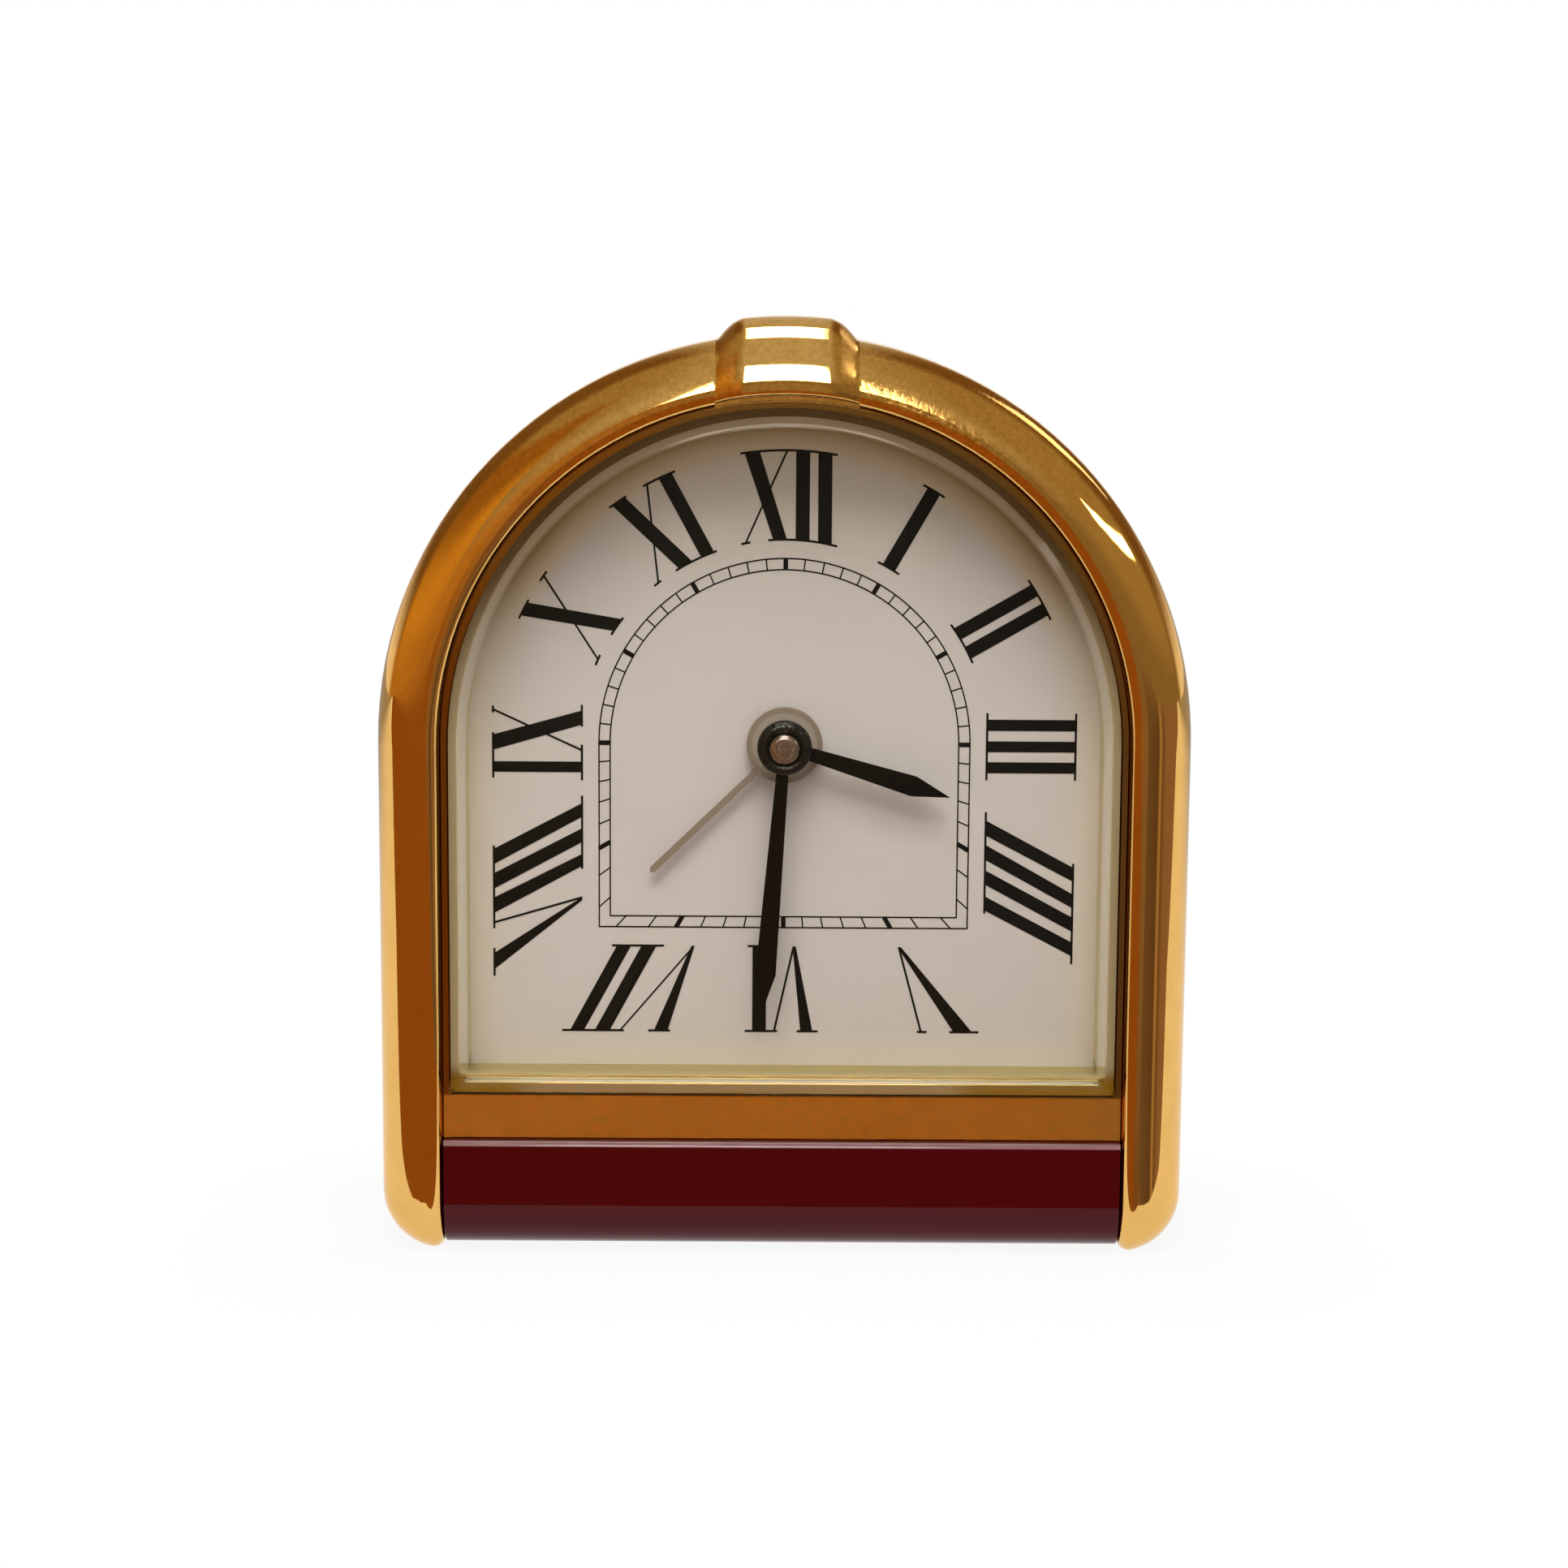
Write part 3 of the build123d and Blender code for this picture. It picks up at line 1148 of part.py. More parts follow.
# Alarm button: a saddle that wraps the top of the frame. It is level with the frame at its two ends, rises
# in round shoulders to a flat crown, and has an apron down its front and a stem through the frame to the
# contact spring.
apron_bottom = SIDE_HEIGHT + opening_half + APRON_CLEARANCE
button_half = BUTTON_WIDTH / 2
crown_half = button_half - BUTTON_FLARE
end_top = SIDE_HEIGHT + math.sqrt(case_half**2 - button_half**2)


def saddle(crown, end, floor, lean):
    """Returns a face with a flat crown on round shoulders that reach its ends at the lean, above a flat floor."""
    run, rise = polar((0, 0), 1, lean)
    with BuildSketch() as face:
        with BuildLine():
            Polyline((-button_half, end), (-button_half, floor), (button_half, floor), (button_half, end))
            Spline((button_half, end), (crown_half, crown), tangents=[(-run, rise), (-1, 0)])
            Line((crown_half, crown), (-crown_half, crown))
            Spline((-crown_half, crown), (-button_half, end), tangents=[(-1, 0), (-run, -rise)])
        make_face()
    return face.sketch


with BuildPart() as alarm_button:
    with BuildSketch(Plane.YZ) as button_section:
        with BuildLine():
            Polyline(
                (y_at(-BUTTON_PROUD), apron_bottom),
                (y_at(apron_back), apron_bottom),
                (y_at(apron_back), button_under),
                (y_at(BUTTON_BACK), button_under),
                (y_at(BUTTON_BACK), button_top),
                (y_at(-BUTTON_PROUD), button_top),
                close=True,
            )
        make_face()
        fillet(button_section.vertices().group_by(Axis.Y)[-1].sort_by(Axis.X)[0], BUTTON_SHOULDER)
        fillet(button_section.vertices().group_by(Axis.Y)[-1].sort_by(Axis.X)[-1], BUTTON_HEEL)
        fillet(button_section.vertices().group_by(Axis.Y)[0].sort_by(Axis.X)[0], APRON_ROUND)
    extrude(amount=BUTTON_WIDTH, both=True)
    with BuildSketch(at_depth(BUTTON_BACK + OVERCUT)):
        add(saddle(button_top, end_top, SIDE_HEIGHT, BUTTON_TOP_LEAN))
    extrude(amount=BUTTON_BACK + BUTTON_PROUD + 2 * OVERCUT, mode=Mode.INTERSECT)
    with BuildSketch(Plane.XY.offset(SIDE_HEIGHT)):
        front_curve = saddle(-y_at(-BUTTON_PROUD), -y_at(0), -y_at(BUTTON_BACK + OVERCUT), BUTTON_FRONT_LEAN)
        add(mirror(front_curve, Plane.XZ))
    extrude(amount=case_half + BUTTON_RISE + OVERCUT, mode=Mode.INTERSECT)
    with BuildSketch(Plane.XY.offset(button_under)):
        with Locations((0, y_at(STEM_DEPTH))):
            Circle(STEM_RADIUS)
    extrude(amount=-STEM_LENGTH)
alarm_button.part.label = "alarm_button"
export_step(alarm_button.part, "parts/alarm_button.step")

# Contact spring: a bent leaf on the front plate whose free arm lies under the button's stem.
spring_top = button_under - STEM_LENGTH
spring_left = SPRING_OVERHANG - SPRING_ARM
spring_foot = battery_at[1] + cup_outside + SPRING_FOOT_GAP
with BuildPart() as alarm_contact_spring:
    with BuildSketch(at_depth(STEM_DEPTH + SPRING_WIDTH / 2)):
        with BuildLine():
            Polyline(
                (spring_left, spring_top),
                (SPRING_OVERHANG, spring_top),
                (SPRING_OVERHANG, spring_top - SPRING_THICKNESS),
                (spring_left + SPRING_THICKNESS, spring_top - SPRING_THICKNESS),
                (spring_left + SPRING_THICKNESS, spring_foot),
                (spring_left, spring_foot),
                close=True,
            )
        make_face()
    extrude(amount=STEM_DEPTH + SPRING_WIDTH / 2 - plate_back)
alarm_contact_spring.part.label = "alarm_contact_spring"
export_step(alarm_contact_spring.part, "parts/alarm_contact_spring.step")
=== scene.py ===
import math

import bpy
import numpy as np
from mathutils import Matrix, Vector


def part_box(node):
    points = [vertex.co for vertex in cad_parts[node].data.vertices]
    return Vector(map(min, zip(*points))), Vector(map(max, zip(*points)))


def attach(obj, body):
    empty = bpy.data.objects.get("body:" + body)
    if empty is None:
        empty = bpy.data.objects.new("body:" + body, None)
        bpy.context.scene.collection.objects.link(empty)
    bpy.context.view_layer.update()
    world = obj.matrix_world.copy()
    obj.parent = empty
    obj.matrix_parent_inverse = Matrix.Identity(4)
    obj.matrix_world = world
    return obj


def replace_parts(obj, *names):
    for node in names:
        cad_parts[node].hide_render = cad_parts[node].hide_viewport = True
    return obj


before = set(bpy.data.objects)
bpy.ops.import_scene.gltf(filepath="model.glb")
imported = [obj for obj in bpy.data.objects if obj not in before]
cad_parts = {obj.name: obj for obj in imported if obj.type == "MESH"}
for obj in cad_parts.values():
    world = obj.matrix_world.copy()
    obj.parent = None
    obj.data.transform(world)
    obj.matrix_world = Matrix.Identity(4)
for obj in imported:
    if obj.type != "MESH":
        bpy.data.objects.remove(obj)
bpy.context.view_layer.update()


# Case frame: one brass casting, an arch on two legs with a rounded front. It was polished, gold plated and
# has since been handled for years, so the crown round the button is rubbed and faintly pitted. The crown's
# flanks and the rear edge are duller.
class Value:
    """One socket of a node tree. Arithmetic on it adds Math nodes, and node() adds any other kind."""

    def __init__(self, tree, socket=None):
        self.tree = tree
        self.socket = socket

    def node(self, kind, settings={}, sockets={}, output=0):
        """Adds a node: its settings first, a ramp's stops among them, then values or links of its sockets."""
        made = self.tree.nodes.new(kind)
        for name, setting in settings.items():
            if name == "stops":
                ends = made.color_ramp.elements
                ends[0].position, ends[0].color = setting[0]
                ends[1].position, ends[1].color = setting[-1]
                for place, colour in setting[1:-1]:
                    ends.new(place).color = colour
            else:
                setattr(made, name, setting)
        for name, value in sockets.items():
            if isinstance(value, Value):
                self.tree.links.new(value.socket, made.inputs[name])
            else:
                made.inputs[name].default_value = value
        return Value(self.tree, made.outputs[output])

    def maths(self, operation, first, second=0.0):
        return self.node("ShaderNodeMath", {"operation": operation}, {0: first, 1: second})

    def __add__(self, other):
        return self.maths("ADD", self, other)

    __radd__ = __add__

    def __sub__(self, other):
        return self.maths("SUBTRACT", self, other)

    def __rsub__(self, other):
        return self.maths("SUBTRACT", other, self)

    def __mul__(self, other):
        return self.maths("MULTIPLY", self, other)

    __rmul__ = __mul__

    def __truediv__(self, other):
        return self.maths("DIVIDE", self, other)

    def __gt__(self, other):
        return self.maths("GREATER_THAN", self, other)

    def __lt__(self, other):
        return self.maths("LESS_THAN", self, other)

    def absolute(self):
        return self.maths("ABSOLUTE", self)

    def root(self):
        return self.maths("SQRT", self)

    def least(self, other):
        return self.maths("MINIMUM", self, other)

    def most(self, other):
        return self.maths("MAXIMUM", self, other)

    def between(self, low, high):
        """0 below low, 1 above high and a smooth rise between them."""
        return self.node(
            "ShaderNodeMapRange",
            {"interpolation_type": "SMOOTHSTEP"},
            {"Value": self, "From Min": low, "From Max": high, "To Min": 0.0, "To Max": 1.0},
        )

    def within(self, low, high, edge):
        """1 between two bounds and 0 outside them, with soft edges."""
        return self.between(low - edge, low + edge) * (1 - self.between(high - edge, high + edge))

    def ramp(self, *stops):
        """A colour that runs through stops, each a place from 0 to 1 and its colour."""
        stops = [(place, (*colour, 1.0)) for place, colour in stops]
        return self.node("ShaderNodeValToRGB", {"stops": stops}, {0: self})

    def tint(self, low, high):
        """A colour that runs from low at 0 to high at 1."""
        return self.ramp((0.0, low), (1.0, high))

    def blend(self, first, second):
        """A mix of two colours or colour values: the first at 0 and the second at 1."""
        first, second = (each if isinstance(each, Value) else (*each, 1.0) for each in (first, second))
        return self.node("ShaderNodeMix", {"data_type": "RGBA"}, {0: self, 6: first, 7: second}, output=2)

    def bump(self, depth, strength=1.0):
        """A normal for a surface that this value raises by up to depth."""
        return self.node("ShaderNodeBump", {}, {"Height": self, "Distance": depth, "Strength": strength})

    def parts(self):
        """The three coordinates of a vector."""
        made = self.node("ShaderNodeSeparateXYZ", {}, {0: self})
        return [Value(self.tree, made.socket.node.outputs[axis]) for axis in range(3)]

    def moved(self, shift=(0, 0, 0), turn=(0, 0, 0), stretch=(1, 1, 1)):
        """The coordinates less a shift, turned back and stretched, to centre or draw out a pattern."""
        centred = self.node(
            "ShaderNodeVectorMath", {"operation": "SUBTRACT"}, {0: self, 1: [length * MM for length in shift]}
        )
        return centred.node("ShaderNodeMapping", {}, {"Vector": centred, "Rotation": turn, "Scale": stretch})

    def noise(self, size, detail=2.0, roughness=0.5):
        """Smooth noise from 0 to 1 with features of about that size, in millimetres."""
        return self.node(
            "ShaderNodeTexNoise",
            {},
            {"Vector": self, "Scale": 1 / (size * MM), "Detail": detail, "Roughness": roughness},
        )


MM = 0.001


def finish(name, **sockets):
    """Starts a material of that name with constants on its Principled shader. Returns the material, the
    Object coordinates to build patterns from, and a function that links a value to a socket."""
    material = bpy.data.materials.new(name)
    material.use_nodes = True
    tree = material.node_tree
    shader = tree.nodes["Principled BSDF"]
    for socket, value in sockets.items():
        shader.inputs[socket.replace("_", " ")].default_value = value
    place = Value(tree).node("ShaderNodeTexCoord", output="Object")

    def link(**values):
        for socket, value in values.items():
            tree.links.new(value.socket, shader.inputs[socket.replace("_", " ")])

    return material, place, link


def dress(material, *names):
    """Gives CAD nodes a material in place of the plain colour they came with."""
    for name in names:
        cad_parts[name].material_slots[0].material = material


gold_plate, place, link = finish("polished_gold_plate", Metallic=1.0)
across, depth, height = place.parts()
thumb = (13 * MM, -5 * MM, 79 * MM)
from_thumb = place.node(
    "ShaderNodeVectorMath", {"operation": "DISTANCE"}, {0: place, 1: thumb}, output="Value"
)
handled = (1 - from_thumb.between(4 * MM, 16 * MM)) * across.between(4 * MM, 7 * MM)
flanks = across.absolute().within(4.5 * MM, 5.9 * MM, 0.5 * MM) * height.between(76 * MM, 80 * MM)
rear = depth.between(5.4 * MM, 6.4 * MM)
pits = place.noise(0.45, detail=4.0, roughness=0.7)
rubbed = place.noise(2.6, detail=3.0)
hairlines = place.moved(turn=(0.0, 0.6, 0.3), stretch=(1.0, 1.0, 0.06)).noise(0.35, detail=2.0)
mottled = 0.5 + (rubbed - 0.5) * 0.5 + (pits - 0.5) * (0.2 + 2.2 * height.between(58 * MM, 74 * MM))
scratched = handled * (0.02 + 0.06 * pits.between(0.42, 0.7))
link(
    Base_Color=mottled.tint((0.66, 0.37, 0.095), (0.94, 0.56, 0.17)),
    Roughness=0.025 + 0.03 * rubbed + scratched + 0.32 * flanks + 0.2 * rear,
    Normal=(pits.between(0.3, 0.75) * (0.05 + handled) + hairlines * 0.05).bump(0.008 * MM, 0.5),
)
dress(gold_plate, "case_frame")


# Inner bezel: a thin plated ring pressed into the frame, whose lower part is the flat sill under the
# crystal. The sill is bead blasted to a satin, and the thin lip round the crystal is left bright.
satin_gold, place, link = finish("satin_gold_plate", Metallic=1.0)
grain = place.noise(0.09, detail=2.0, roughness=0.7)
cloud = place.noise(3.2, detail=2.0)
mottle = place.moved(stretch=(1.0, 1.0, 0.6)).noise(0.45, detail=3.0, roughness=0.65)
specks = place.noise(0.3, detail=1.0)
height = place.parts()[2]
satin = 1 - height.between(14.4 * MM, 14.8 * MM)
link(
    Base_Color=(satin * (0.1 + 0.2 * cloud + 1.2 * mottle)).tint((0.34, 0.19, 0.06), (0.86, 0.42, 0.075)),
    Roughness=0.07 + satin * (0.13 + 0.08 * grain - 0.06 * specks.between(0.68, 0.8)),
    Normal=(grain * satin).bump(0.006 * MM, 0.5),
)
dress(satin_gold, "inner_bezel")


# Base bar: a brass bar in a deep red lacquer, rubbed smooth and clear coated, held between the legs on a
# steel rod. The lacquer has a slow unevenness in its reflections, and along its upper front edge a painted
# highlight, a pale pink line in the base colour.
lacquer, place, link = finish("dark_red_lacquer", Specular_IOR_Level=0.18, IOR=1.5)
flow = place.moved(stretch=(0.35, 1.0, 1.0)).noise(4.0, detail=1.0)
dust = place.noise(0.25, detail=1.0)
_, depth, height = place.parts()
# Painted highlight: a pale pink line along the bar's upper front edge, broken up by stretched noise.
highlight_breakup = place.moved(stretch=(0.25, 1.0, 1.0)).noise(0.7, detail=3.0)
painted_edge_highlight = height.within(10.06 * MM, 10.42 * MM, 0.08 * MM) * (1 - depth.between(-8.3 * MM, -8.1 * MM))
fresh = flow.tint((0.062, 0.0010, 0.0026), (0.072, 0.0015, 0.0034))
link(
    Base_Color=(painted_edge_highlight * (0.45 + 0.7 * highlight_breakup)).blend(fresh, (0.33, 0.175, 0.175)),
    Roughness=0.03 + 0.05 * dust.between(0.66, 0.74),
    Normal=flow.bump(0.05 * MM, 0.15),
)
dress(lacquer, "base_bar")

bright_steel, place, link = finish("turned_steel", Metallic=1.0)
turning = place.noise(0.12, detail=2.0)
link(
    Base_Color=turning.tint((0.50, 0.48, 0.46), (0.62, 0.60, 0.57)),
    Roughness=0.16 + 0.16 * turning,
    Normal=turning.bump(0.004 * MM, 0.4),
)
dress(bright_steel, "base_bar_rod")


# Crystal: a thick mineral glass window with a polished bevel all round. A pale matt line mixed into the glass
# along the bevel's inner edge, weaker in places, is a painted highlight. The crystal is bedded in the bezel
# on a bead of clear sealant that has gone amber along the sill, and is painted darker over the arch, a
# painted shade.
ARCH_CENTRE, CRYSTAL_HALF, CRYSTAL_FOOT = 46.0, 29.6, 14.7
FRONT_DEPTH = -9.25
HIGHLIGHT_FROM, HIGHLIGHT_TO, HIGHLIGHT_SOFT = 1.30, 1.50, 0.06
SIDE_NARROWER, FOOT_WIDER = 0.57, 0.65


def inside_arch(place, half):
    """How far a point lies inside an arch of that half width, from its upright sides or its half circle."""
    across, _, height = place.parts()
    rise = (height - ARCH_CENTRE * MM).most(0.0)
    return half * MM - (across * across + rise * rise).root()


crystal_glass, place, link = finish(
    "bevelled_crystal", Transmission_Weight=1.0, IOR=1.5, Roughness=0.0, Specular_Tint=(0.15, 0.15, 0.15, 1.0)
)
tree = crystal_glass.node_tree
shader = Value(tree, tree.nodes["Principled BSDF"].outputs[0])
across, depth, height = place.parts()
from_side = inside_arch(place, CRYSTAL_HALF) + SIDE_NARROWER * MM * (1 - height.between(50 * MM, 66 * MM))
from_edge = from_side.least(height - (CRYSTAL_FOOT + FOOT_WIDER) * MM)
# Painted highlight: a pale matt line along the bevel's inner edge, fainter at the arch's shoulders and foot.
highlight_strength = 1 - height.between(46 * MM, 56 * MM) * across.absolute().between(7 * MM, 12 * MM)
highlight_strength = highlight_strength * (0.4 + 0.6 * height.between(17.5 * MM, 19 * MM))
bevel_highlight = from_edge.within(HIGHLIGHT_FROM * MM, HIGHLIGHT_TO * MM, HIGHLIGHT_SOFT * MM) * (depth < -7.0 * MM) * highlight_strength
bevel_highlight_matt = place.node("ShaderNodeBsdfDiffuse", {}, {"Color": (0.80, 0.71, 0.56, 1.0)})
glass = place.node("ShaderNodeMixShader", {}, {0: bevel_highlight * 0.3, 1: shader, 2: bevel_highlight_matt})
clear = place.node("ShaderNodeBsdfTransparent", {}, {"Color": (0.96, 0.97, 0.95, 1.0)})
to_lamp = place.node("ShaderNodeLightPath", output="Is Shadow Ray")
surface = place.node("ShaderNodeMixShader", {}, {0: to_lamp, 1: glass, 2: clear})
tree.links.new(surface.socket, tree.nodes["Material Output"].inputs["Surface"])
haze = place.noise(6.0, detail=2.0)
link(Base_Color=haze.tint((0.97, 0.98, 0.95), (1.0, 1.0, 0.99)))
dress(crystal_glass, "crystal")

amber_seal, place, link = finish("ambered_clear_seal", Specular_IOR_Level=0.1)
height = place.parts()[2]
streaks = place.noise(1.2, detail=2.0)
over_sill = 1 - height.between(15.5 * MM, 17.5 * MM)
# Painted shade: darker over the arch. Amber over the sill, with faint streaks.
tone_and_painted_light = 0.5 + 0.5 * height.between(50 * MM, 66 * MM) - 0.5 * over_sill + 0.1 * (streaks - 0.5)
link(
    Base_Color=tone_and_painted_light.ramp((0.0, (0.21, 0.100, 0.003)), (0.5, (0.38, 0.29, 0.16)), (1.0, (0.17, 0.105, 0.04))),
    Roughness=0.25 + 0.2 * streaks,
    Normal=streaks.bump(0.01 * MM, 0.3),
)


def piece(name, points, faces, material, body, slot, crease=None):
    """Makes a new piece from points in millimetres and puts it on a body. It is shaded flat, or smooth up to
    a crease of that many degrees."""
    mesh = bpy.data.meshes.new(name)
    mesh.from_pydata((points.reshape(-1, 3) * MM).tolist(), [], faces)
    if crease:
        mesh.shade_smooth()
        mesh.set_sharp_from_angle(angle=math.radians(crease))
    mesh.materials.append(material)
    made = bpy.data.objects.new(name, mesh)
    bpy.context.scene.collection.objects.link(made)
    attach(made, body)
    return made


BEAD_INSET, BEAD_HALF_WIDTH, BEAD_DEPTH, BEAD_HALF_DEPTH, BEAD_SQUARENESS = 0.55, 0.53, 3.26, 0.13, 0.4


def seal_bead(steps=97):
    """A bead's section, a rounded rectangle of insets and depths, carried round an arch: a half circle, two
    upright sides and a level foot, each drawn in by the section's inset. Both ways round close on
    themselves."""
    turn = np.linspace(0, 2 * np.pi, 24, endpoint=False)
    squared = [np.sign(wave) * np.abs(wave) ** BEAD_SQUARENESS for wave in (np.cos(turn), np.sin(turn))]
    inset = BEAD_INSET - BEAD_HALF_WIDTH * squared[0]
    deep = BEAD_DEPTH - BEAD_HALF_DEPTH * squared[1]
    around = np.linspace(0, np.pi, steps)[:, None]
    half = CRYSTAL_HALF - inset
    foot = np.broadcast_to(CRYSTAL_FOOT + inset, (2, len(turn)))
    x = np.concatenate([half * np.cos(around), [-half, half]])
    z = np.concatenate([ARCH_CENTRE + half * np.sin(around), foot])
    y = np.broadcast_to(FRONT_DEPTH + deep, x.shape)
    number = np.arange(x.size).reshape(x.shape)
    beside, following = np.roll(number, -1, 1), np.roll(number, -1, 0)
    faces = np.stack([number, following, np.roll(beside, -1, 0), beside], -1).reshape(-1, 4)
    return np.stack([x, y, z], -1), faces.tolist()


seal = piece("crystal_seal", *seal_bead(), amber_seal, "case", "amber_seal", crease=180)
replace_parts(seal, "crystal_gasket")

black_rubber, place, link = finish("black_rubber")
moulded = place.noise(0.15, detail=2.0)
link(
    Base_Color=moulded.tint((0.010, 0.010, 0.010), (0.022, 0.021, 0.020)),
    Roughness=0.55 + 0.2 * moulded,
    Normal=moulded.bump(0.008 * MM, 0.4),
)
dress(black_rubber, "hatch_gasket")


# Dial ring: a pressed brass wall, washed in pale gilt, that holds the dial off the crystal and shows as a
# line round the window. Its colour is painted darker brown over the arch and duller along its foot, painted
# shade.
pale_ring, place, link = finish("pale_gilt_ring", Metallic=0.35)
wash = place.noise(1.4, detail=2.0)
height = place.parts()[2]
# Painted shade: darker brown towards the top of the arch, and a duller olive along the foot.
shaded_over_arch = (height.between(54 * MM, 68 * MM) + 0.2 * wash).tint((0.68, 0.57, 0.32), (0.20, 0.115, 0.04))
link(
    Base_Color=height.between(16.6 * MM, 17.4 * MM).blend((0.40, 0.31, 0.12), shaded_over_arch),
    Roughness=0.30 + 0.15 * wash,
    Normal=wash.bump(0.004 * MM, 0.3),
)
dress(pale_ring, "dial_ring")


# Dial: a thin brass plate under a warm off-white satin paint, with its hours and minutes pad printed in
# black. Its colour is warmer towards its edge and top, painted light reflected from the gold, and brown
# under the arch, painted shade. The print stands a few hundredths of a millimetre proud.
DIAL_HALF, DIAL_FOOT = 28.3, 15.8
dial_white, place, link = finish("off_white_dial_paint", Specular_IOR_Level=0.15)
paint = place.noise(0.16, detail=2.0)
warmth = place.noise(14.0, detail=1.0)
height = place.parts()[2]
from_side = inside_arch(place, DIAL_HALF)
from_edge = from_side.least(height - DIAL_FOOT * MM)
# Painted light: warmer colour near the edge and over the top, for light reflected from the gold frame.
painted_gold_reflection = (1 - from_edge.between(0.0, 4.5 * MM)).most(0.9 * height.between(57 * MM, 72 * MM))
tone_and_painted_light = (painted_gold_reflection * 0.9 + warmth * 0.06 + paint * 0.04).tint((0.628, 0.578, 0.564), (0.680, 0.614, 0.520))
# Painted shade: a brown band just inside the arch's edge, under the frame.
painted_arch_shade = (from_side / (3.6 * MM)).ramp(
    (0.0, (0.27, 0.155, 0.055)),
    (0.3, (0.55, 0.42, 0.26)),
    (0.6, (0.67, 0.55, 0.39)),
    (1.0, (0.680, 0.590, 0.460)),
)
under_arch = height.between(52 * MM, 64 * MM) * (1 - from_side.between(2.4 * MM, 3.6 * MM))
link(
    Base_Color=under_arch.blend(tone_and_painted_light, painted_arch_shade),
    Roughness=0.48 + 0.12 * paint,
    Normal=paint.bump(0.003 * MM, 0.25),
)
dress(dial_white, "dial")

DIAL_PIVOT = 45.5
BAND_INNER, BAND_OUTER = 18.3, 26.2
SIDE_INNER, SIDE_OUTER = 18.15, 26.1
FOOT_INNER, FOOT_OUTER = 18.5, 26.35
HAIRLINE, PRINT_FOOT = 0.2, 0.01
dial_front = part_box("dial")[0][1] / MM


def band_point(hour, edge, along):
    """The dial point at a distance along the inner (0) or outer (1) edge of the hour band, and the direction
    of that edge there. The band is an arch: circles round the pivot for the upper five hours, measured
    sideways from the hour's own radius, upright lines at the sides and level lines at the foot."""
    along = np.asarray(along, float)
    if hour in (10, 11, 12, 1, 2):
        radius = BAND_OUTER if edge else BAND_INNER
        turn = math.radians(30 * hour)
        out = np.sqrt(radius**2 - along**2)
        x = along * math.cos(turn) + out * math.sin(turn)
        z = -along * math.sin(turn) + out * math.cos(turn)
        return np.stack([x, z], -1), np.stack([z, -x], -1) / radius
    if hour in (3, 4, 8, 9):
        side = 1 if hour < 6 else -1
        x = np.full_like(along, side * (SIDE_OUTER if edge else SIDE_INNER))
        return np.stack([x, along], -1), np.broadcast_to([0.0, 1.0], along.shape + (2,))
    z = np.full_like(along, -(FOOT_OUTER if edge else FOOT_INNER))
    return np.stack([along, z], -1), np.broadcast_to([1.0, 0.0], along.shape + (2,))


def bar_edges(hour, inner, inner_width, outer, outer_width, stations=9):
    """The two long edges of one stroke: straight lines between the band's edges, where it is cut along
    them."""
    start, start_cut = band_point(hour, 0, inner)
    end, end_cut = band_point(hour, 1, outer)
    share = np.linspace(0, 1, stations)[:, None]
    inner = [start + side * inner_width / 2 * start_cut for side in (-1, 1)]
    outer = [end + side * outer_width / 2 * end_cut for side in (-1, 1)]
    return np.stack([first * (1 - share) + last * share for first, last in zip(inner, outer)], 1)


def serif_edges(hour, edge, first, last, stations=9):
    """The two edges of a hairline serif, which runs along the inner or outer edge of the hour band."""
    line, cut = band_point(hour, edge, np.linspace(first, last, stations))
    out = np.stack([-cut[:, 1], cut[:, 0]], -1) * HAIRLINE / 2
    return np.stack([line - out, line + out], 1)


def printed(name, ribbons, proud, closed=False):
    """Thin closed prisms on the dial's face. Each ribbon is a row of stations with a left and a right edge,
    which change places where the cross product of its way along and its way over says that they are the wrong
    way round. A ring of four corners, two on the face and two proud of it, is carried along it and capped."""
    ribbons = np.array(ribbons, float)
    count, stations = ribbons.shape[:2]
    along = (ribbons[:, 1] - ribbons[:, 0]).mean(1)
    over = ribbons[:, 0, 1] - ribbons[:, 0, 0]
    wrong = along[:, 0] * over[:, 1] > along[:, 1] * over[:, 0]
    ribbons[wrong] = ribbons[wrong][:, :, ::-1]
    corner = ribbons[:, :, [0, 1, 1, 0]]
    y = np.array([-proud, -proud, PRINT_FOOT, PRINT_FOOT]) + dial_front
    points = np.empty((count, stations, 4, 3))
    points[..., 0] = corner[..., 0]
    points[..., 1] = y
    points[..., 2] = corner[..., 1] + DIAL_PIVOT
    number = np.arange(count * stations * 4).reshape(count, stations, 4)
    following = np.roll(number, -1, axis=1)
    sides = np.stack([number, np.roll(number, -1, axis=2), np.roll(following, -1, axis=2), following], -1)
    if closed:
        faces = sides.reshape(-1, 4)
    else:
        faces = np.concatenate([sides[:, :-1].reshape(-1, 4), number[:, 0, ::-1], number[:, -1]])
    return piece(name, points, faces.tolist(), print_ink, "case", "black_hands")


print_ink, place, link = finish("black_dial_print", Specular_IOR_Level=0.1)
screen = place.noise(0.12, detail=1.0)
link(
    Base_Color=screen.tint((0.0045, 0.0042, 0.0036), (0.0075, 0.0070, 0.0062)),
    Roughness=0.55 + 0.2 * screen,
    Normal=screen.bump(0.003 * MM, 0.3),
)

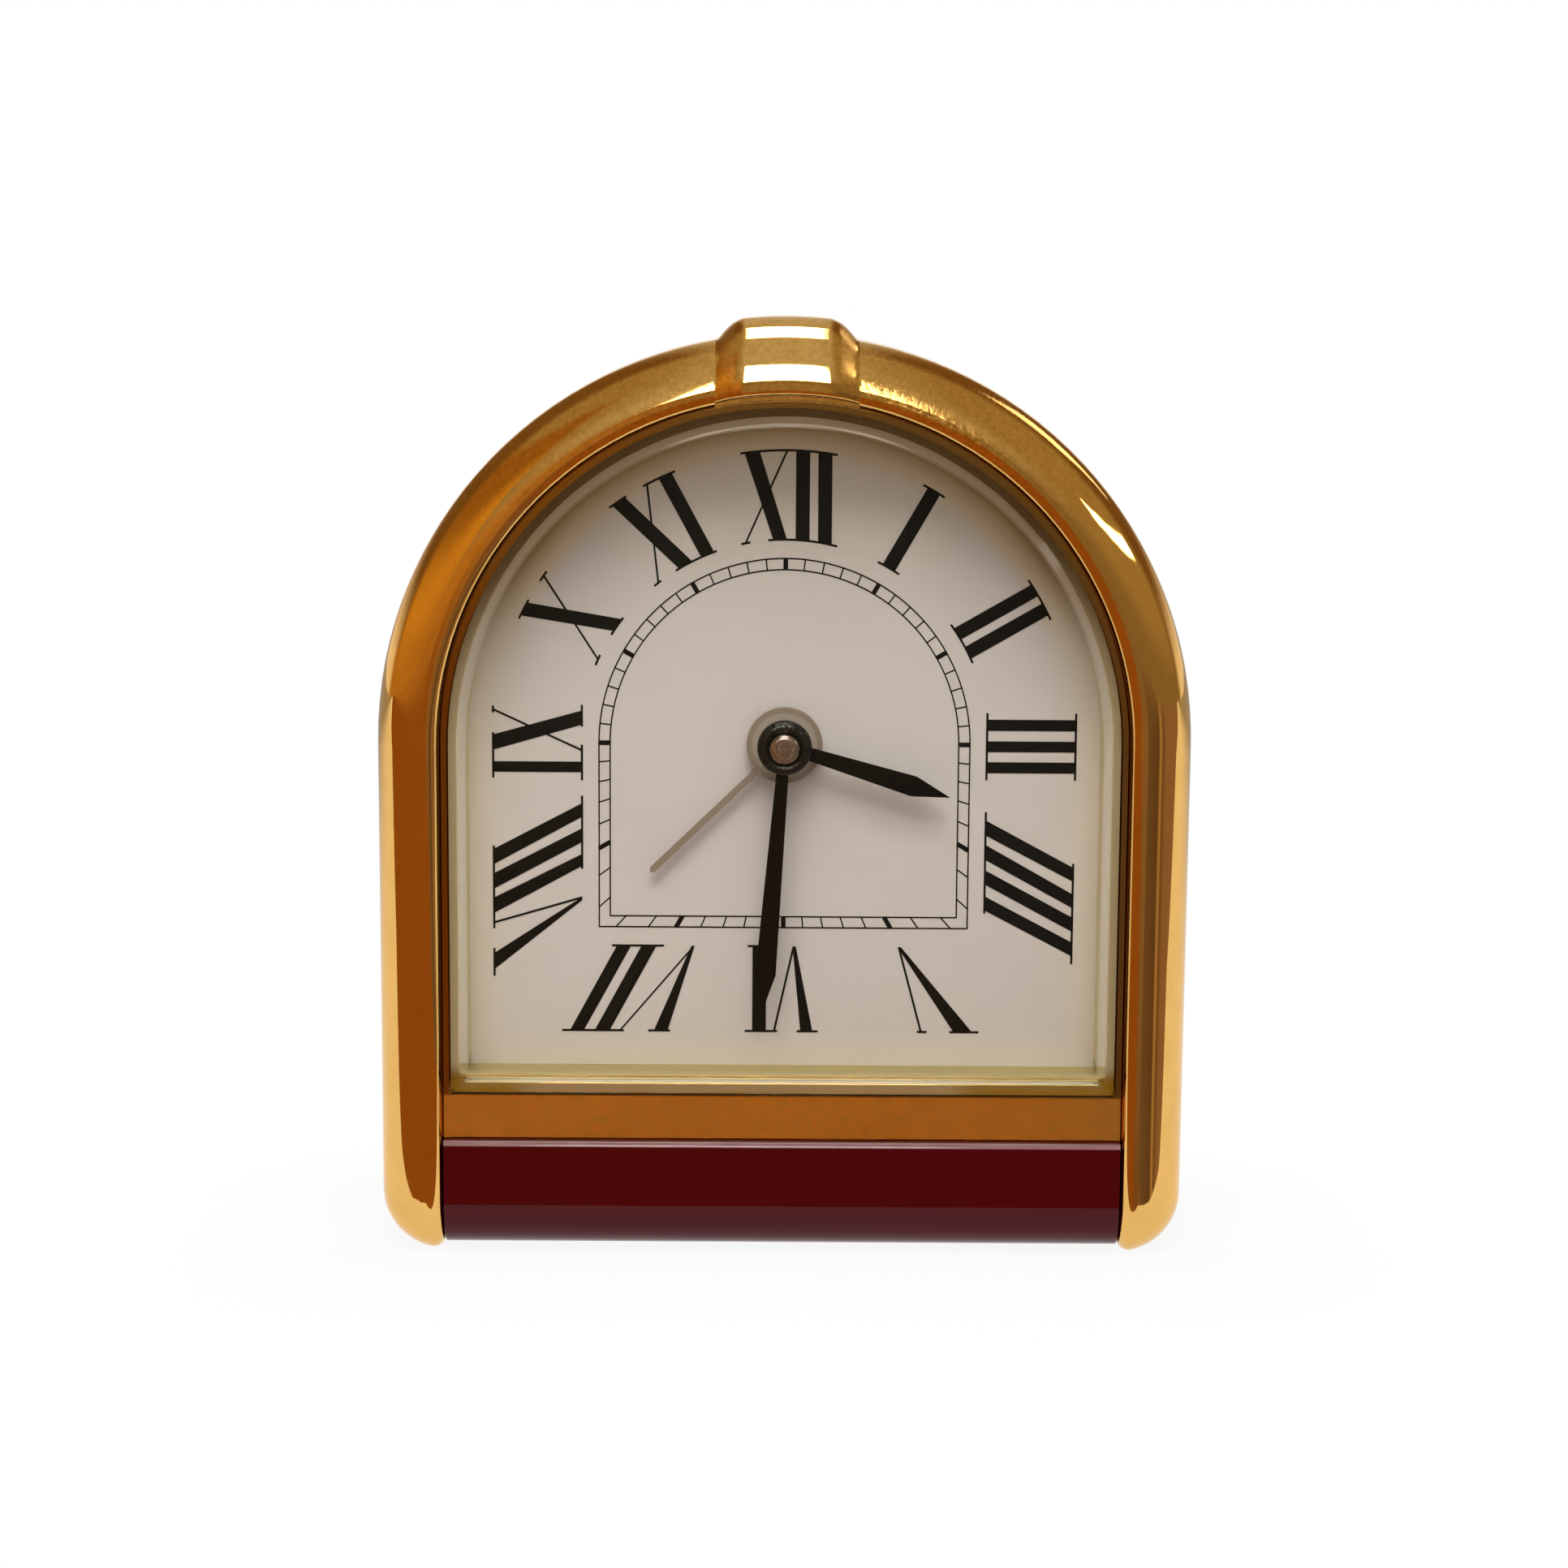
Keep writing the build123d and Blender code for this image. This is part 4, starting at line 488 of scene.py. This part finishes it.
# Each hour has its heavy strokes, its hairlines and its serifs, as places along the band's edges. A stroke
# is (inner place, inner width, outer place, outer width), a hairline is (inner place, outer place), and a
# serif is (edge, first, last).
HOURS = {
    12: ([(-0.52, 1.23, -3.04, 1.36), (1.48, 1.24, 1.48, 1.24), (3.46, 1.25, 3.45, 1.25)], [(-3.58, 0.09)],
         [(1, -4.08, 4.53), (0, -3.95, -3.15), (0, -1.57, 4.56)]),
    1: ([(0.0, 1.26, 0.0, 1.26)], [], [(1, -1.1, 1.1), (0, -1.1, 1.1)]),
    2: ([(-0.97, 1.2, -0.97, 1.2), (0.97, 1.2, 0.97, 1.2)], [], [(1, -2.05, 2.05), (0, -2.0, 2.0)]),
    3: ([(1.79, 1.02, 1.79, 1.02), (-0.15, 0.98, -0.15, 0.98), (-2.05, 1.0, -2.05, 1.0)], [],
        [(1, -3.2, 2.89), (0, -3.2, 2.89)]),
    4: ([(-7.53, 1.38, -11.76, 1.28), (-9.76, 1.38, -14.2, 1.28), (-12.05, 1.32, -16.35, 1.32),
         (-14.43, 1.3, -18.62, 1.28)], [], [(0, -15.37, -6.09), (1, -20.0, -10.76)]),
    5: ([(10.50, 0.3, 16.36, 1.7)], [(10.46, 12.56)], [(1, 12.2, 13.09), (1, 15.14, 17.8)]),
    6: ([(-2.14, 1.25, -2.14, 1.25), (1.0, 0.3, 2.16, 1.1)], [(0.95, -0.78)],
        [(0, -3.2, -1.15), (1, -3.44, -0.49), (1, 1.28, 3.2)]),
    7: ([(-14.38, 1.29, -18.66, 1.26), (-12.12, 1.36, -16.37, 1.36), (-8.15, 0.3, -11.06, 1.25)],
        [(-8.05, -14.75)], [(0, -15.47, -10.77), (1, -20.0, -14.4), (1, -12.2, -10.2)]),
    8: ([(-6.12, 1.25, -10.4, 1.41), (-8.41, 1.26, -12.64, 1.42), (-10.67, 1.1, -14.87, 1.42),
         (-14.2, 0.3, -20.0, 1.5)], [(-14.1, -16.44)],
        [(0, -11.49, -4.82), (1, -17.0, -9.41), (1, -21.38, -18.8)]),
    9: ([(2.25, 1.28, 0.0, 1.39), (-2.21, 0.96, -2.21, 0.96)], [(-0.7, 2.97)],
        [(1, 2.67, 3.3), (1, -3.24, 0.88), (0, 1.43, 3.41), (0, -3.42, -0.19)]),
    10: ([(1.71, 1.3, -1.28, 1.3)], [(-1.85, 2.2)],
         [(1, -2.25, -0.34), (1, 1.62, 2.66), (0, 0.65, 2.54), (0, -2.42, -1.41)]),
    11: ([(2.45, 1.25, 2.65, 1.25), (0.29, 1.35, -2.08, 1.35)], [(-2.61, 0.88)],
         [(1, -3.07, -1.25), (1, 0.48, 3.61), (0, -0.74, 3.32), (0, -3.07, -2.29)]),
}
heavy, thin, feet = [], [], []
for hour, (bars, lines, serifs) in HOURS.items():
    heavy += [bar_edges(hour, *bar) for bar in bars]
    thin += [bar_edges(hour, inner, HAIRLINE, outer, HAIRLINE) for inner, outer in lines]
    feet += [serif_edges(hour, *serif) for serif in serifs]
printed("hour_strokes", heavy, proud=0.030)
printed("hour_hairlines", thin, proud=0.026)
printed("hour_serifs", feet, proud=0.022)

TRACK_OUTER, TRACK_INNER, TRACK_FOOT, TRACK_LINE, TRACK_BLOCK = 16.62, 15.62, 0.15, 0.13, 0.42


def track_reach(turn, half):
    """Distance from the pivot to the track's arch in a direction counted clockwise from twelve: a circle
    above the pivot, and below it the nearer of the upright side and the level foot."""
    side = half / np.maximum(np.abs(np.sin(turn)), 1e-9)
    foot = (half + TRACK_FOOT) / np.maximum(-np.cos(turn), 1e-9)
    return np.where(np.cos(turn) >= 0, half, np.minimum(side, foot))


def track_line(half):
    """A closed hairline round the arch, sampled by direction, with the two lower corners among its points."""
    corner = np.pi - np.arctan2(half, half + TRACK_FOOT)
    even = np.linspace(0, 2 * np.pi, 240, endpoint=False)
    turn = np.sort(np.concatenate([even, [corner, 2 * np.pi - corner]]))
    direction = np.stack([np.sin(turn), np.cos(turn)], -1)
    halves = half - TRACK_LINE / 2, half + TRACK_LINE / 2
    return np.stack([track_reach(turn, each)[:, None] * direction for each in halves], 1)


def tick(minute, width):
    """A mark across the track on a minute's own radius."""
    turn = np.full(2, 2 * np.pi * minute / 60)
    out = np.array([np.sin(turn[0]), np.cos(turn[0])])
    reach = np.array([track_reach(turn, TRACK_INNER)[0], track_reach(turn, TRACK_OUTER)[0]])
    line = reach[:, None] * out
    cut = np.array([out[1], -out[0]]) * width / 2
    return np.stack([line - cut, line + cut], 1)


printed("minute_track", [track_line(TRACK_INNER), track_line(TRACK_OUTER)], proud=0.020, closed=True)
printed("minute_ticks", [tick(minute, TRACK_LINE) for minute in range(60) if minute % 5], proud=0.018)
printed("five_minute_blocks", [tick(minute, TRACK_BLOCK) for minute in range(0, 60, 5)], proud=0.024)


# Hands: the hour and minute hands are stamped and painted black, the alarm hand is a plain taupe needle
# on its own wide pipe. A domed steel cap nut holds them in the minute hand's rounded gloss boss.
black_paint, place, link = finish("black_hand_paint", Specular_IOR_Level=0.10)
spray = place.noise(0.2, detail=2.0)
link(
    Base_Color=spray.tint((0.0030, 0.0028, 0.0026), (0.0060, 0.0055, 0.0050)),
    Roughness=0.14 + 0.10 * spray,
    Normal=spray.bump(0.003 * MM, 0.3),
)
dress(black_paint, "hour_hand", "minute_hand")

BOSS_INNER, BOSS_OUTER, BOSS_RISE, BOSS_SUNK = 1.37, 2.43, 0.35, 0.01


def boss_ring():
    """Half an ellipse, standing on the minute hand's hub between the cap nut and the hub's edge, turned
    round the pivot's axis. Its base closes the section and is sunk a hair into the hub."""
    around = np.linspace(0, 2 * np.pi, 96, endpoint=False)[:, None]
    over = np.linspace(0, np.pi, 25)
    radius = (BOSS_OUTER + BOSS_INNER) / 2 + (BOSS_OUTER - BOSS_INNER) / 2 * np.cos(over)
    x, z = radius * np.sin(around), DIAL_PIVOT + radius * np.cos(around)
    hub_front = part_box("minute_hand")[0][1] / MM
    y = np.broadcast_to(hub_front + BOSS_SUNK - BOSS_RISE * np.sin(over), x.shape)
    number = np.arange(x.size).reshape(x.shape)
    beside = np.roll(number, -1, 1)
    faces = np.stack([number, beside, np.roll(beside, -1, 0), np.roll(number, -1, 0)], -1).reshape(-1, 4)
    return np.stack([x, y, z], -1), faces.tolist()


boss_black, place, link = finish("gloss_black_boss", Specular_IOR_Level=0.32)
spray = place.noise(0.3, detail=2.0)
link(
    Base_Color=spray.tint((0.0024, 0.0026, 0.0028), (0.0044, 0.0047, 0.0050)),
    Roughness=0.22 + 0.12 * spray,
    Normal=spray.bump(0.006 * MM, 0.4),
)
piece("hand_boss", *boss_ring(), boss_black, "minute_works", "black_hands", crease=40)

taupe_paint, place, link = finish("taupe_hand_paint", Specular_IOR_Level=0.4)
spray = place.noise(0.2, detail=2.0)
across, _, height = place.parts()
height = height - DIAL_PIVOT * MM
from_pivot = (across * across + height * height).root()
worn = from_pivot.within(0.5 * MM, 2.9 * MM, 0.15 * MM) * 0.85 + spray * 0.15
link(
    Base_Color=worn.tint((0.235, 0.180, 0.135), (0.375, 0.310, 0.255)),
    Roughness=0.35 + 0.12 * spray,
    Normal=spray.bump(0.003 * MM, 0.3),
)
dress(taupe_paint, "alarm_hand")

nut_steel, place, link = finish("domed_nut_steel", Metallic=1.0)
rings = place.node(
    "ShaderNodeTexWave",
    {"wave_type": "RINGS", "rings_direction": "Y"},
    {"Vector": place.moved((0, 0, DIAL_PIVOT)), "Scale": 1600.0, "Distortion": 1.0},
    output="Fac",
)
link(
    Base_Color=rings.tint((0.20, 0.155, 0.130), (0.30, 0.240, 0.205)),
    Roughness=0.18 + 0.10 * rings,
    Normal=rings.bump(0.003 * MM, 0.3),
)
dress(nut_steel, "hand_nut")


# Movement plates and holder: the front plate and the spacer ring are moulded in a pale acetal, and the
# rear plate is rolled brass with a fine brushed grain. Four small steel screws clamp them.
pale_plastic, place, link = finish("pale_moulded_plastic", Specular_IOR_Level=0.4)
spark = place.noise(0.10, detail=2.0)
link(
    Base_Color=spark.tint((0.56, 0.56, 0.53), (0.63, 0.63, 0.60)),
    Roughness=0.42 + 0.15 * spark,
    Normal=spark.bump(0.006 * MM, 0.4),
)
dress(pale_plastic, "movement_front_plate", "movement_holder")

plate_brass, place, link = finish("brushed_plate_brass", Metallic=1.0)
brushed = place.moved(stretch=(0.03, 1.0, 1.0)).noise(0.08, detail=3.0)
link(
    Base_Color=brushed.tint((0.48, 0.33, 0.10), (0.60, 0.43, 0.15)),
    Roughness=0.24 + 0.16 * brushed,
    Normal=brushed.bump(0.004 * MM, 0.5),
)
dress(plate_brass, "movement_back_plate")
dress(bright_steel, "movement_screws")


# Wheels and arbors: the train is cut from hard brass and turned on its faces. The minute arbor and the
# motor's rotor are steel, and the buzzer is a brass disc of the same sheet.
cut_brass, place, link = finish("cut_gear_brass", Metallic=1.0)
facing = place.noise(0.07, detail=3.0)
link(
    Base_Color=facing.tint((0.47, 0.30, 0.085), (0.58, 0.40, 0.13)),
    Roughness=0.18 + 0.16 * facing,
    Normal=facing.bump(0.003 * MM, 0.5),
)
dress(
    cut_brass, "centre_wheel", "hour_wheel", "alarm_wheel", "minute_wheel", "third_wheel", "second_wheel",
    "alarm_set_arbor", "buzzer_disc",
)
dress(bright_steel, "minute_arbor", "rotor")


# Stepping motor: a stack of soft iron for the stator, its core, and a bobbin of enamelled copper wire
# wound close, whose turns show as fine ribs along the core.
dark_iron, place, link = finish("soft_iron_laminations", Metallic=1.0)
layers = place.moved(stretch=(0.2, 1.0, 0.2)).noise(0.06, detail=2.0)
link(
    Base_Color=layers.tint((0.22, 0.21, 0.20), (0.34, 0.33, 0.31)),
    Roughness=0.35 + 0.2 * layers,
    Normal=layers.bump(0.006 * MM, 0.5),
)
dress(dark_iron, "stator", "coil_core")

WIRE_PITCH, WAVE_PERIOD = 0.16, 0.314
copper_wire, place, link = finish("enamelled_copper_wire", Metallic=1.0, Coat_Weight=0.6, Coat_Roughness=0.1)
turns = place.node(
    "ShaderNodeTexWave",
    {"wave_type": "BANDS", "bands_direction": "X"},
    {"Vector": place, "Scale": WAVE_PERIOD / (WIRE_PITCH * MM), "Distortion": 0.6, "Detail": 1.0},
    output="Fac",
)
link(
    Base_Color=turns.tint((0.25, 0.070, 0.018), (0.56, 0.19, 0.055)),
    Roughness=0.34 - 0.12 * turns,
    Normal=turns.bump(0.04 * MM, 0.8),
)
dress(copper_wire, "coil_winding")


# Circuit: a green masked board with the tracks' relief under the mask, the chip under its drop of black
# resin, and the quartz in its steel can.
board_green, place, link = finish("green_solder_mask", Specular_IOR_Level=0.5)
tracks = place.node(
    "ShaderNodeTexVoronoi",
    {"distance": "MANHATTAN", "feature": "F1"},
    {"Vector": place, "Scale": 1 / (1.1 * MM)},
    output="Distance",
)
copper_under = tracks.between(0.42, 0.48)
link(
    Base_Color=copper_under.tint((0.010, 0.085, 0.026), (0.006, 0.045, 0.016)),
    Roughness=0.22 + 0.12 * copper_under,
    Normal=copper_under.bump(0.02 * MM, 0.6),
)
dress(board_green, "circuit_board")

black_resin, place, link = finish("black_resin_drop", Specular_IOR_Level=0.5)
sag = place.noise(0.9, detail=1.0)
link(
    Base_Color=sag.tint((0.006, 0.006, 0.006), (0.012, 0.011, 0.011)),
    Roughness=0.14 + 0.16 * sag,
    Normal=sag.bump(0.03 * MM, 0.4),
)
dress(black_resin, "clock_chip")
dress(bright_steel, "quartz_can")


# Button cell and contacts: a nickelled steel can under a bayonet hatch, between sprung bronze leaves. The
# leaf under the alarm button is the third.
dress(bright_steel, "battery")
spring_bronze, place, link = finish("rolled_spring_bronze", Metallic=1.0)
rolled = place.moved(stretch=(1.0, 0.1, 0.1)).noise(0.09, detail=2.0)
link(
    Base_Color=rolled.tint((0.38, 0.18, 0.065), (0.48, 0.24, 0.095)),
    Roughness=0.24 + 0.16 * rolled,
    Normal=rolled.bump(0.004 * MM, 0.4),
)
dress(spring_bronze, "battery_contact_front", "battery_contact_side", "alarm_contact_spring")


# Back cover, hatch, knobs and strut: brass, plated like the case. Cover, hatch and strut are pressed, and
# were brushed upright before the plating, so the back is satin. The knobs are turned and polished, and the
# cover's screws and the strut's pin stay steel.
brushed_gold, place, link = finish("brushed_gold_plate", Metallic=1.0)
strokes = place.moved(stretch=(1.0, 1.0, 0.02)).noise(0.10, detail=3.0, roughness=0.6)
worn = place.noise(5.0, detail=2.0)
link(
    Base_Color=(strokes * 0.5 + worn * 0.5).tint((0.66, 0.37, 0.10), (0.82, 0.49, 0.15)),
    Roughness=0.20 + 0.14 * strokes,
    Normal=strokes.bump(0.004 * MM, 0.5),
)
dress(brushed_gold, "back_cover", "battery_hatch", "strut")
dress(gold_plate, "time_set_knob", "alarm_set_knob")
dress(bright_steel, "back_cover_screws", "strut_pin")


# Alarm button: a separate plated saddle over the crown of the arch, polished and rubbed like the frame. It
# rises out of the frame's own section in a smooth swell, whose two toes stay with the frame as the saddle
# slides down between them on its stem.
SADDLE_HALF, SADDLE_FLANK, SADDLE_LEAN, SADDLE_EASE = 6.235, 2.6, 1.9, 0.14
SADDLE_RISE, SADDLE_PROUD = 1.5, 0.5
SADDLE_UNDER, APRON_WALL = 80.6, 0.75
LIP_OUT, LIP_ROUND = 31.15, 0.5
CROWN_OUT, CROWN_ROUND = 31.8, 4.2
HEEL_OUT, HEEL_DEEP, HEEL_ROUND = 35.5, 12.5, 0.5
TOE_START, TOE_GAP, TOE_SKIN = 5.0, 0.01, 0.08


def saddle(name, x, body):
    """The frame's section, as distance from the arch's centre and depth, carried across a row of x. A swell
    that eases out of each end, leans up and levels out to 1 over the middle, as a cubic, lifts it along its
    own normal, more on top than in front. The inside is level under the crown and upright behind the apron.
    In the toes, whose outside runs lower, it keeps a skin's thickness behind that. Each section closes
    through it."""
    reach = np.clip((SADDLE_HALF - np.abs(x)) / SADDLE_FLANK, 0, 1)
    reach = (np.hypot(reach, SADDLE_EASE) - SADDLE_EASE) / (np.hypot(1, SADDLE_EASE) - SADDLE_EASE)
    swell = reach**2 * (3 - 2 * reach) + SADDLE_LEAN * reach * (1 - reach) ** 2
    lip = np.radians(np.linspace(-90, 0, 9))
    crown = np.radians(np.linspace(0, 90, 49))
    heel = np.radians(np.linspace(90, 0, 9))
    out = np.concatenate([
        LIP_OUT + LIP_ROUND * np.sin(lip),
        CROWN_OUT + CROWN_ROUND * np.sin(crown),
        HEEL_OUT + HEEL_ROUND * np.sin(heel),
    ])
    deep = np.concatenate([
        LIP_ROUND - LIP_ROUND * np.cos(lip),
        CROWN_ROUND - CROWN_ROUND * np.cos(crown),
        HEEL_DEEP + HEEL_ROUND * np.cos(heel),
    ])
    rise = np.concatenate([np.zeros_like(lip), np.sin(crown), np.ones_like(heel)]) * SADDLE_RISE
    proud = np.concatenate([np.cos(lip), np.cos(crown), np.zeros_like(heel)]) * SADDLE_PROUD
    from_centre = out + swell[:, None] * rise
    y = FRONT_DEPTH + deep - swell[:, None] * proud
    z = ARCH_CENTRE + np.sqrt(from_centre**2 - x[:, None] ** 2)
    arc = slice(len(lip) + len(crown) - 1, len(lip) - 1, -1)
    heel_y = np.full((len(x), 1), FRONT_DEPTH + HEEL_DEEP + HEEL_ROUND)
    wall_y = np.full((len(x), 1), FRONT_DEPTH + APRON_WALL)
    under_z = np.full((len(x), 1), SADDLE_UNDER)
    skin_y, skin_z = wall_y, under_z
    if body == "case":
        skin_y, skin_z = np.maximum(y[:, arc] + TOE_SKIN, wall_y), np.minimum(z[:, arc], under_z)
    y = np.hstack([y, heel_y, skin_y, wall_y])
    z = np.hstack([z, under_z, skin_z, z[:, :1]])
    points = np.stack([np.broadcast_to(x[:, None], y.shape), y, z], -1)
    rows, loop = y.shape
    number = np.arange(rows * loop).reshape(rows, loop)
    beside = np.roll(number, -1, 1)
    sides = np.stack([number[:-1], number[1:], beside[1:], beside[:-1]], -1)
    faces = sides.reshape(-1, 4).tolist() + [number[0].tolist(), number[-1, ::-1].tolist()]
    return piece(name, points, faces, gold_plate, body, "gold_plate", crease=40)


button = (TOE_START - TOE_GAP / 2) * np.sin(np.linspace(-np.pi / 2, np.pi / 2, 129))
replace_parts(saddle("button_saddle", button, "button"), "alarm_button")
toe = SADDLE_HALF - (SADDLE_HALF - TOE_START - TOE_GAP / 2) * (1 + np.cos(np.linspace(0, np.pi, 41))) / 2
saddle("button_toe_right", toe, "case")
saddle("button_toe_left", -toe[::-1], "case")


# Floor and studio: a white table that runs out to a white background. A dark warm room in front of it, a
# dark card on the table and bright boxes above and in front show only in metal and glass. One lamp overhead,
# which the metal doesn't show, lights the dial.
def stage_card(name, corners, level, build):
    """A level card of the stage with its corners, as (x, y) in millimetres, listed clockwise from above. Its
    surface is the shader that build makes from its Object coordinates."""
    points = np.column_stack([np.array(corners), np.full(len(corners), level)]) * MM
    mesh = bpy.data.meshes.new(name)
    mesh.from_pydata(points.tolist(), [], [range(len(corners))[::-1]])
    material = bpy.data.materials.new(build.__name__)
    material.use_nodes = True
    tree = material.node_tree
    tree.nodes.remove(tree.nodes["Principled BSDF"])
    surface = build(Value(tree).node("ShaderNodeTexCoord", output="Object"))
    tree.links.new(surface.socket, tree.nodes["Material Output"].inputs["Surface"])
    mesh.materials.append(material)
    made = bpy.data.objects.new(name, mesh)
    bpy.context.scene.collection.objects.link(made)
    return made


def white_table(place):
    """Matt white with a glow that hides all but a faint contact shadow. The metal sees it grey behind."""
    across, depth, _ = place.parts()
    matt = place.node("ShaderNodeBsdfDiffuse", {}, {"Color": (0.82, 0.82, 0.82, 1.0)})
    mirrored = place.node("ShaderNodeLightPath", output="Is Glossy Ray")
    behind = mirrored * depth.between(20 * MM, 350 * MM)
    glow = place.node("ShaderNodeEmission", {}, {"Color": behind.tint((1.0, 1.0, 1.0), (0.42, 0.40, 0.38))})
    beside = (across.absolute() - 34 * MM).most(0.0)
    before = (depth.absolute() - 8 * MM).most(0.0)
    away = (beside * beside + before * before).root()
    fade = 0.91 + 0.09 * away.between(0.0, 24 * MM)
    return place.node("ShaderNodeMixShader", {}, {0: fade, 1: matt, 2: glow})


stage_card("table", [(-3000, 3000), (3000, 3000), (3000, -3000), (-3000, -3000)], 0.0, white_table)


def dark_card(place):
    """Near the clock, bands of brown by their bearing in degrees from the right leg. Farther off, a warmer
    brown to the left than to the right, and an even one in the middle."""
    across, depth, _ = place.parts()
    ahead = 0.0 - depth
    bearing = across.maths("ARCTAN2", across - 34 * MM, ahead - 9 * MM)
    bands = [
        (-80, (0.31, 0.115, 0.021)), (-7, (0.31, 0.115, 0.021)), (2, (0.20, 0.120, 0.075)),
        (7, (0.27, 0.185, 0.120)), (13, (0.17, 0.115, 0.080)), (28, (0.14, 0.086, 0.048)),
        (33, (0.15, 0.095, 0.055)), (37, (0.50, 0.350, 0.220)), (43, (0.18, 0.110, 0.060)),
        (52, (0.30, 0.190, 0.140)), (90, (0.31, 0.195, 0.145)),
    ]
    first, spread = bands[0][0], bands[-1][0] - bands[0][0]
    share = (bearing - math.radians(first)) / math.radians(spread)
    near = share.ramp(*[((angle - first) / spread, colour) for angle, colour in bands])
    far = across.between(-120 * MM, -20 * MM).blend((0.46, 0.23, 0.05), (0.28, 0.21, 0.12))
    shade = ahead.between(300 * MM, 900 * MM).blend(near, far)
    middle = 1 - across.absolute().between(40 * MM, 70 * MM)
    shade = (ahead.between(200 * MM, 500 * MM) * middle).blend(shade, (0.36, 0.27, 0.15))
    return place.node("ShaderNodeEmission", {}, {"Color": shade})


card = stage_card(
    "dark_card",
    [(-67, -23), (60, -24), (150, -55), (4000, -60),
     (4000, -3000), (-4000, -3000), (-4000, -100), (-176, -42)],
    0.3,
    dark_card,
)
card.visible_camera = card.visible_diffuse = card.visible_shadow = False

# The room by direction: pale straight ahead, warm to the left and below, dark beside the clock and white far
# behind it, with the boxes and windows as bright patches. Mirrors and glass see it, the camera sees white,
# and matt surfaces get an even grey.
world = bpy.data.worlds.new("studio")
bpy.context.scene.world = world
world.use_nodes = True
tree = world.node_tree
toward = Value(tree).node("ShaderNodeTexCoord", output="Generated")
to_right, to_back, to_top = toward.parts()
in_front = to_back < 0.0
off_centre = to_right.absolute()
room = off_centre.between(0.0, 0.42).blend((0.60, 0.57, 0.50), (0.39, 0.30, 0.16))
warm = to_top.between(0.22, 0.5).blend((0.66, 0.35, 0.055), (0.34, 0.165, 0.03))
room = ((1 - to_right.between(-0.46, -0.36)) * (1 - to_top.between(0.64, 0.74))).blend(room, warm)
room = (to_back.between(-0.05, 0.35) * off_centre.between(0.1, 0.35)).blend(room, (0.20, 0.11, 0.035))
below = to_right.between(-0.25, -0.05).blend((0.52, 0.26, 0.05), (0.28, 0.21, 0.12))
room = (1 - to_top.between(0.0, 0.2)).blend(room, below)
outside = to_back.between(0.15, 0.40) * (1 - to_top.between(0.0, 0.30)) * off_centre.between(0.4, 0.7)
room = outside.blend(room, (1.0, 0.96, 0.88))
room = to_back.between(0.85, 0.97).blend(room, (1.0, 1.0, 1.0))
sideways = to_right / (0.0 - to_back).most(0.02)
front_box = sideways.within(-0.075, 0.06, 0.012) * to_top.within(0.05, 0.43, 0.01) * in_front
top_box = to_right.within(-0.10, 0.10, 0.02) * to_back.within(-0.26, 0.22, 0.02) * (to_top > 0.0)
window = to_right.within(0.68, 0.93, 0.01) * to_top.within(0.37, 0.44, 0.01) * in_front
tall_window = to_right.within(0.52, 0.70, 0.02) * to_back.within(0.38, 0.62, 0.02) * (to_top > 0.4)
lit = (front_box + top_box + 0.5 * window + 0.12 * tall_window).least(1.0)
room = lit.blend(room, (18.0, 17.5, 16.2))
path = toward.node("ShaderNodeLightPath").socket.node
from_camera, from_mirror, through_glass, matt_bounces = (
    Value(tree, path.outputs[name])
    for name in ("Is Camera Ray", "Is Glossy Ray", "Is Transmission Ray", "Diffuse Depth")
)
seen = ((from_camera + from_mirror + through_glass) * (matt_bounces < 0.5)).least(1.0)
sky = seen.blend((0.36, 0.355, 0.35), from_camera.blend(room, (1.0, 1.0, 1.0)))
tree.links.new(sky.socket, tree.nodes["Background"].inputs["Color"])


def lamp(name, at, aim, width, tall, power, colour):
    """A rectangular soft box that faces a point, with sizes in millimetres."""
    light = bpy.data.lights.new(name, "AREA")
    light.shape = "RECTANGLE"
    light.size, light.size_y = width * MM, tall * MM
    light.energy, light.color = power, colour
    made = bpy.data.objects.new(name, light)
    made.location = Vector(at) * MM
    made.rotation_euler = (Vector(aim) - Vector(at)).to_track_quat("-Z", "Y").to_euler()
    bpy.context.scene.collection.objects.link(made)
    return made


key = lamp("overhead_box", (-20, -290, 560), (0, 0, 45), 380, 240, 2.6, (1.0, 0.97, 0.93))
key.visible_glossy = False


# Camera: a short telephoto a little above the dial's centre, turned by a third of a degree and rolled by a
# little more.
CAMERA_RISE, CAMERA_TURN, CAMERA_ROLL = math.radians(8.687), math.radians(-0.288), math.radians(0.40)
CAMERA_AIM, CAMERA_REACH, CAMERA_LENS = Vector((-0.01, 0.0, 41.549)), 293.63, 74.575
back = Vector((
    math.sin(CAMERA_TURN) * math.cos(CAMERA_RISE),
    -math.cos(CAMERA_TURN) * math.cos(CAMERA_RISE),
    math.sin(CAMERA_RISE),
))
right = (-back).cross(Vector((0, 0, 1))).normalized()
up = right.cross(-back)
tilted_right = math.cos(CAMERA_ROLL) * right + math.sin(CAMERA_ROLL) * up
tilted_up = math.cos(CAMERA_ROLL) * up - math.sin(CAMERA_ROLL) * right
lens = bpy.data.cameras.new("camera")
lens.lens, lens.sensor_width, lens.clip_start = CAMERA_LENS, 36.0, 0.001
camera = bpy.data.objects.new("camera", lens)
bpy.context.scene.collection.objects.link(camera)
turned = Matrix((tilted_right, tilted_up, back)).transposed().to_4x4()
camera.matrix_world = Matrix.Translation((CAMERA_AIM + CAMERA_REACH * back) * MM) @ turned
bpy.context.scene.camera = camera
bpy.context.scene.view_settings.view_transform = "Standard"
